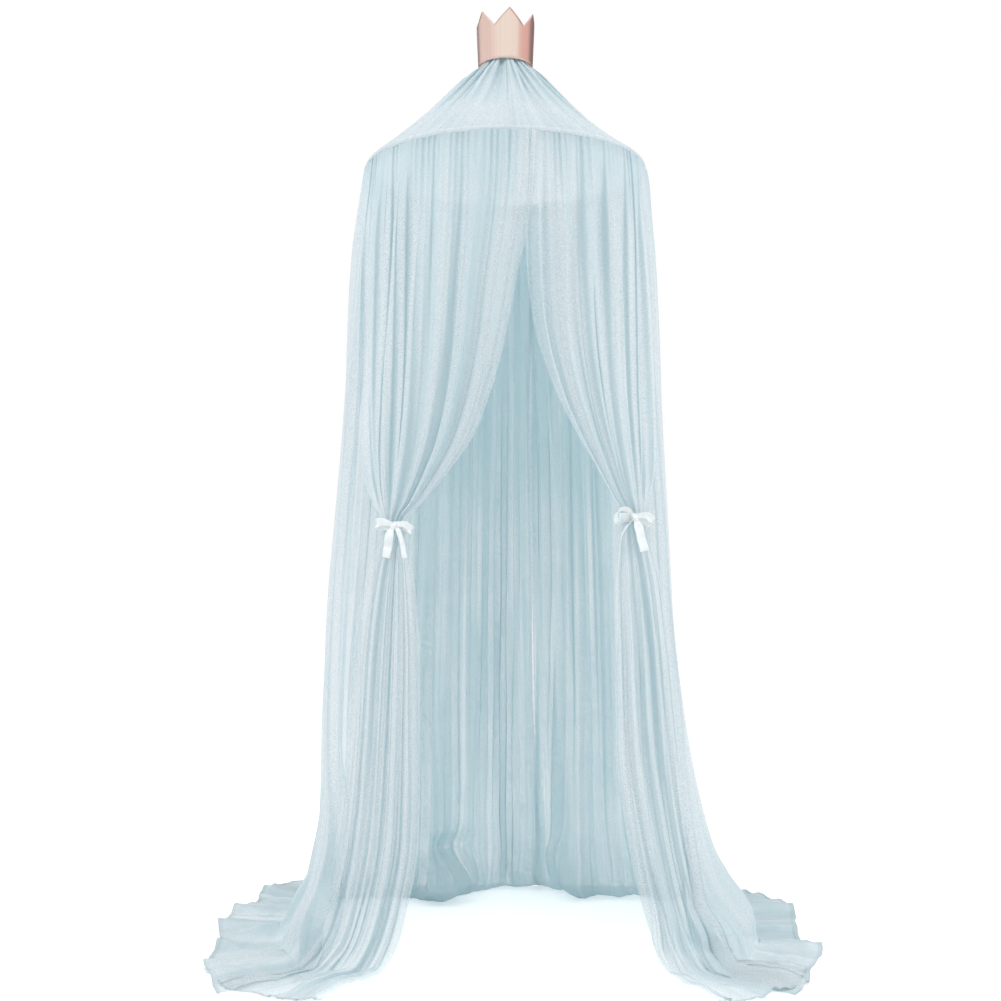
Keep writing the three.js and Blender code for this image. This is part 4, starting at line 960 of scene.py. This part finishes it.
# Satin's warp floats over the weft, so fine lines run along the ribbon. The real ones are
# 0.1 mm apart, drawn 4 times coarser. Handling leaves soft creases some 11 mm apart.
stretch = node("Mapping", {"Vector": uv, "Scale": (2500, 60, 1)})
float_lines = node("TexNoise", {"Vector": stretch, "Scale": 1, "Detail": 2})
crease_and_shade = node("TexNoise", {"Vector": uv, "Scale": 90, "Detail": 2})
bump = node("Bump", {"Height": crease_and_shade, "Distance": 0.0015, "Strength": 0.7})
bump = node("Bump", {"Height": float_lines, "Distance": 0.0001, "Strength": 0.4, "Normal": bump})
dull = node("MapRange", {"Value": float_lines, "To Min": 0.3, "To Max": 0.45})
# The ribbon's colour is painted darker blue-grey in the creases' hollows: painted shade.
tone = node("Mix", {0: crease_and_shade, 6: "#DAE3E6", 7: "#F0F4F4"}, data_type="RGBA")
ribbon_face = node("BsdfPrincipled", {"Base Color": tone.outputs[2], "Roughness": dull,
                                      "Anisotropic": 0.5, "Sheen Weight": 0.2, "Normal": bump})
node("OutputMaterial", {"Surface": ribbon_face})

RIBBON_THICKNESS = 0.0008
KNOT_WIDTH, KNOT_HEIGHT, KNOT_DEPTH = 0.015, 0.019, 0.009
# The band clears the bundle by half the net's thickness where its folds are steepest
BAND_EASE = NET_THICKNESS / 2 / 0.4 + PIECE_GAP
BAND_GAP = 0.0004
# How far each bow sits towards the doorway side of its bundle
BOW_SHIFT = {"left": 0.008, "right": 0.004}


def smooth_line(points, steps):
    """A line of points through the given ones, evenly run."""
    points = np.asarray(points, float)
    run = np.concatenate([[0], np.cumsum(np.linalg.norm(np.diff(points, axis=0), axis=1) ** 0.5)])
    padded = np.concatenate([[2 * points[0] - points[1]], points, [2 * points[-1] - points[-2]]])
    at = np.linspace(0, run[-1], steps)
    k = np.clip(np.searchsorted(run, at, side="right") - 1, 0, len(points) - 2)
    t = ((at - run[k]) / np.diff(run)[k])[:, None]
    a, b, c, d = padded[k], padded[k + 1], padded[k + 2], padded[k + 3]
    return 0.5 * (2 * b + (c - a) * t + (2 * a - 5 * b + 4 * c - d) * t ** 2
                  + (3 * b - a - 3 * c + d) * t ** 3)


def ribbon_piece(part, line, side, width, cup=0.0):
    """A length of the ribbon along a line, as a piece."""
    rings = swept_ribbon(line, side, width, RIBBON_THICKNESS, cup)
    piece = add_piece(part, weld_mesh(turned_mesh(rings, True)), satin, "satin")


# Each loop and tail: points in mm from the knot, across to the doorway side, out and up; then
# the way that the ribbon's width faces there, and its width as it shows.
BOWS = {
    "left_bow_loop_outer": (
        [(-3, 0, 1), (-12, 3, 5), (-24, 5, 8), (-35, 4, 7), (-39, 0, 3), (-34, -4, -1),
         (-22, -4, 0), (-11, -3.4, -1), (-4, -2, 0)],
        [(0, 0.15, 1), (0.1, 0.3, 1), (0.1, 0.35, 1)], (7, 15, 18, 16, 7)),
    "left_bow_loop_inner": (
        [(3, 0, 0), (12, 3, 3), (23, 5, 3), (33, 4, -2), (37, 1, -9), (32, -3, -11),
         (21, -4, -6), (10, -3.4, -3), (3, -2, -1)],
        [(0, 0.1, 1), (0.3, 0.3, 1), (0.2, 0.3, 1)], (6, 13, 15, 12, 6)),
    "left_bow_tail_outer": (
        [(-4, 1, -4), (-8, 4, -14), (-10, 6, -27), (-12, 4, -40), (-14, 6, -51), (-17, 5, -63)],
        [(-1, 0, -0.1), (-1, 0.2, 0.15), (-1, -0.1, 0.25)], (8, 18, 18, 18, 18)),
    "left_bow_tail_inner": (
        [(5, 1, -4), (12, 4, -13), (18, 5, -27), (21, 4, -41), (24, 6, -53), (26, 5, -64)],
        [(1, 0.2, 0.2), (1, 0.75, 0.2), (1, 0.6, 0.1)], (6, 16, 18, 18, 18)),
    "right_bow_loop_inner": (
        [(3, 0, 2), (13, 3, 12), (25, 5, 16), (36, 4, 12), (40, 0, 1), (36, -3, -11),
         (25, -4, -9), (13, -3.4, -3), (4, -2, -1)],
        [(0, 0.5, 1), (0, 1, 0.5), (0.3, 1, 0.4)], (6, 13, 17, 13, 6)),
    "right_bow_loop_outer": (
        [(-3, 0, 1), (-12, 3, 4), (-24, 5, 4), (-34, 3, -1), (-38, 0, -7), (-32, -3, -11),
         (-20, -4, -6), (-10, -3.4, -2), (-3, -2, 0)],
        [(0, 0.2, 1), (-0.2, 0.4, 1), (-0.2, 0.3, 1)], (7, 14, 17, 14, 7)),
    "right_bow_tail_inner": (
        [(4, 1, -4), (10, 4, -9), (18, 6, -16), (26, 6, -27), (31, 5, -39), (33, 6, -50)],
        [(0.3, 1, 0.3), (0.4, 1, -0.3), (0.5, 1, 0)], (6, 15, 18, 18, 18)),
    "right_bow_tail_outer": (
        [(-2, 1, -5), (-5, 4, -16), (-8, 6, -29), (-11, 5, -42), (-15, 6, -55), (-18, 6, -67)],
        [(-1, 0.1, 0.1), (-1, 0, 0.3), (-1, 0.1, 0.36)], (8, 19, 19, 19, 19)),
}
for tie_side in PANELS:
    middle, along, away = tie_frame(tie_side)
    ease = BAND_EASE + RIBBON_THICKNESS / 2
    half_depth = BUNDLE_DEPTH + ease
    straight = BUNDLE_WIDTH / 2 + ease - half_depth

    def at(across, out, up):
        """The point across, out and up from the middle of the bundle."""
        return (middle + np.multiply.outer(across, along) + np.multiply.outer(out, away)
                + np.multiply.outer(up, UP))

    turn = np.linspace(0, math.pi, 25)
    end = straight + half_depth * np.sin(turn)
    band_line = np.concatenate([
        at([BAND_GAP], [half_depth], [0]), at(end, half_depth * np.cos(turn), 0 * turn),
        at(-end, -half_depth * np.cos(turn), 0 * turn), at([-BAND_GAP], [half_depth], [0]),
    ])
    band_line = smooth_line(band_line, 120)
    ribbon_piece(f"{tie_side}_tie_band", band_line, UP, RIBBON_WIDTH)

    # The knot is a small bundle of ribbon, and its turns show as grooves round it.
    knot_out = half_depth + RIBBON_THICKNESS / 2 + PIECE_GAP + KNOT_DEPTH / 2
    polar = np.linspace(0, math.pi, 33)[:, None]
    turn = np.linspace(0, 2 * math.pi, 64, endpoint=False)
    groove = 1 + 0.09 * np.sin(polar * 9 + 1.1 * np.cos(turn)) * np.sin(polar)
    squash = np.abs(np.sin(polar)) ** 0.7
    knot_shift = BOW_SHIFT[tie_side] + 0.003 * np.cos(polar)
    knot = at(knot_shift + KNOT_WIDTH / 2 * squash * np.cos(turn) * groove,
              knot_out + KNOT_DEPTH / 2 * squash * np.sin(turn) * groove,
              0.42 * KNOT_HEIGHT * np.cos(polar) * (0.94 + 0.06 * np.cos(turn * 2)))
    add_piece(f"{tie_side}_bow_knot", weld_mesh(turned_mesh(knot, True)), satin, "satin")

    for name, (points, sides, widths) in BOWS.items():
        if not name.startswith(tie_side):
            continue
        points = np.array(points) / 1000
        line = smooth_line(at(BOW_SHIFT[tie_side] + points[:, 0], knot_out + points[:, 1], points[:, 2]), 64)
        steps = np.linspace(0, 1, 64)
        sides = smooth_rows([0, 0.5, 1], sides, steps)
        sides = sides[:, :1] * along + sides[:, 1:2] * away + sides[:, 2:] * UP
        widths = smooth_rows([0, 0.25, 0.5, 0.75, 1], np.array(widths) / 1000, steps)
        ribbon_piece(name, line, sides, widths, 0.05)


# Crown: a stiff card faced with rose-gold foil, cut to six points, rolled to a ring, lapped
# and held by two rivets at the back. It stands on the roof round the neck.
CROWN_RADIUS = 0.060
CROWN_FLARE = 0.0045
CROWN_TIP, CROWN_VALLEY = 0.112, 0.076
CROWN_THICKNESS = 0.0012
CROWN_LAP = 0.015
CROWN_TURN = -52
POINT_TURN = 60
PER_POINT = 48
CROWN_WARP = 0.0006
# How many degrees before the lap the band has stepped out over its own other end
LAP_LEAD = 7.5
CROWN_RIM = 1.9005
RIVET_INSET = 0.016
RIVET_HEAD, RIVET_DOME, RIVET_SHANK = 0.0035, 0.0014, 0.0015
HEAD_EDGE = 0.0002

foil, node = new_material("rose-gold foil on stiff card, rolled")
uv = node("UVMap", uv_map="cloth")
# Rolling leaves faint upright bands in the foil, some 6 mm wide, and fine lines that are
# 0.2 mm apart and drawn 3 times coarser.
bands = node("Mapping", {"Vector": uv, "Scale": (160, 2, 1)})
bands = node("TexNoise", {"Vector": bands, "Scale": 1, "Detail": 2})
fine = node("Mapping", {"Vector": uv, "Scale": (1600, 20, 1)})
fine = node("TexNoise", {"Vector": fine, "Scale": 1, "Detail": 3})
tone = node("Mix", {0: bands, 6: "#E9C9BC", 7: "#F2DCD0"}, data_type="RGBA")
dull = node("MapRange", {"Value": fine, "To Min": 0.24, "To Max": 0.4})
bump = node("Bump", {"Height": bands, "Distance": 0.0004, "Strength": 0.6})
bump = node("Bump", {"Height": fine, "Distance": 0.00005, "Strength": 0.5, "Normal": bump})
sheet = node("BsdfPrincipled", {"Base Color": tone.outputs[2], "Metallic": 1.0, "Roughness": dull,
                                "Coat Weight": 0.3, "Coat Roughness": 0.2, "Normal": bump})
node("OutputMaterial", {"Surface": sheet})

lap_turn = math.degrees(CROWN_LAP / CROWN_RADIUS)
turned = np.linspace(0, 360 + lap_turn, int(6 * PER_POINT * (1 + lap_turn / 360)) + 1)
tips = CROWN_TURN + POINT_TURN * np.arange(-3, 10)
corners = np.concatenate([tips, tips[:-1] + POINT_TURN / 2]) + lap_turn / 2
corners = corners[(corners > 0) & (corners < 360 + lap_turn)]
turned = np.unique(np.concatenate([turned, corners]).round(6))
angle = turned - lap_turn / 2
from_tip = ((angle - CROWN_TURN) / POINT_TURN + 6) % 1
top = CROWN_VALLEY + (CROWN_TIP - CROWN_VALLEY) * np.abs(2 * from_tip - 1)
step = CROWN_THICKNESS + PIECE_GAP
stepped = step * ramp(turned, 360 - lap_turn - LAP_LEAD, 360 - LAP_LEAD)
warp = CROWN_WARP * noise(77, turned / 30, 0)
rises = np.linspace(0, 1, 15)[:, None] * top
radius = CROWN_RADIUS + CROWN_FLARE * rises / CROWN_TIP + stepped + warp * rises / CROWN_TIP
half = CROWN_THICKNESS / 2
outer = around(-angle, radius + half, CROWN_RIM + rises)
inner = around(-angle, radius - half, CROWN_RIM + rises)
wall = np.concatenate([outer, inner[::-1]])
rise_uv = np.concatenate([rises, rises[::-1]])
share = np.stack([np.radians(turned) * CROWN_RADIUS + 0 * rise_uv, rise_uv], -1)
band = turned_mesh(wall, False, True, share=share)
# Both ends of the band are closed, from its outer face to its inner one.
index = np.arange(len(band.vertices)).reshape(wall.shape[:2])
work = bmesh.new()
work.from_mesh(band)
work.verts.ensure_lookup_table()
for end in (index[:, 0], index[:, -1]):
    for k in range(len(rises) - 1):
        work.faces.new([work.verts[i] for i in (end[k], end[k + 1], end[-2 - k], end[-1 - k])])
work.to_mesh(band)
work.free()
add_piece("crown_band", weld_mesh(band), foil, "foil", body="crown")

tilt = math.atan2(CROWN_FLARE, CROWN_TIP)
grip = CROWN_THICKNESS + step / 2 + PIECE_GAP
dome = np.linspace(0, math.pi / 2, 9)
head = np.stack([RIVET_HEAD * np.sin(dome), grip + RIVET_DOME * np.cos(dome)], 1)
shank = [[RIVET_HEAD - HEAD_EDGE, grip - 0.0001], [RIVET_SHANK, grip], [RIVET_SHANK, -grip],
         [RIVET_HEAD - HEAD_EDGE, -grip + 0.0001]]
section = np.concatenate([head, shank, head[::-1] * [1, -1]])
turn = np.linspace(0, 2 * math.pi, 32, endpoint=False)
x, z = section[:, :1] * np.cos(turn), section[:, :1] * np.sin(turn)
y = section[:, 1:] + 0 * turn
for k, rise in enumerate((RIVET_INSET, CROWN_VALLEY - RIVET_INSET)):
    middle_radius = CROWN_RADIUS + CROWN_FLARE * rise / CROWN_TIP + step / 2
    places = np.stack([x, middle_radius + y * math.cos(tilt) + z * math.sin(tilt),
                       CROWN_RIM + rise - HANG_HEIGHT + z * math.cos(tilt) - y * math.sin(tilt)], -1)
    rivet = weld_mesh(turned_mesh(places, True))
    add_piece(f"crown_rivet_{k + 1}", rivet, foil, "foil", body="crown")
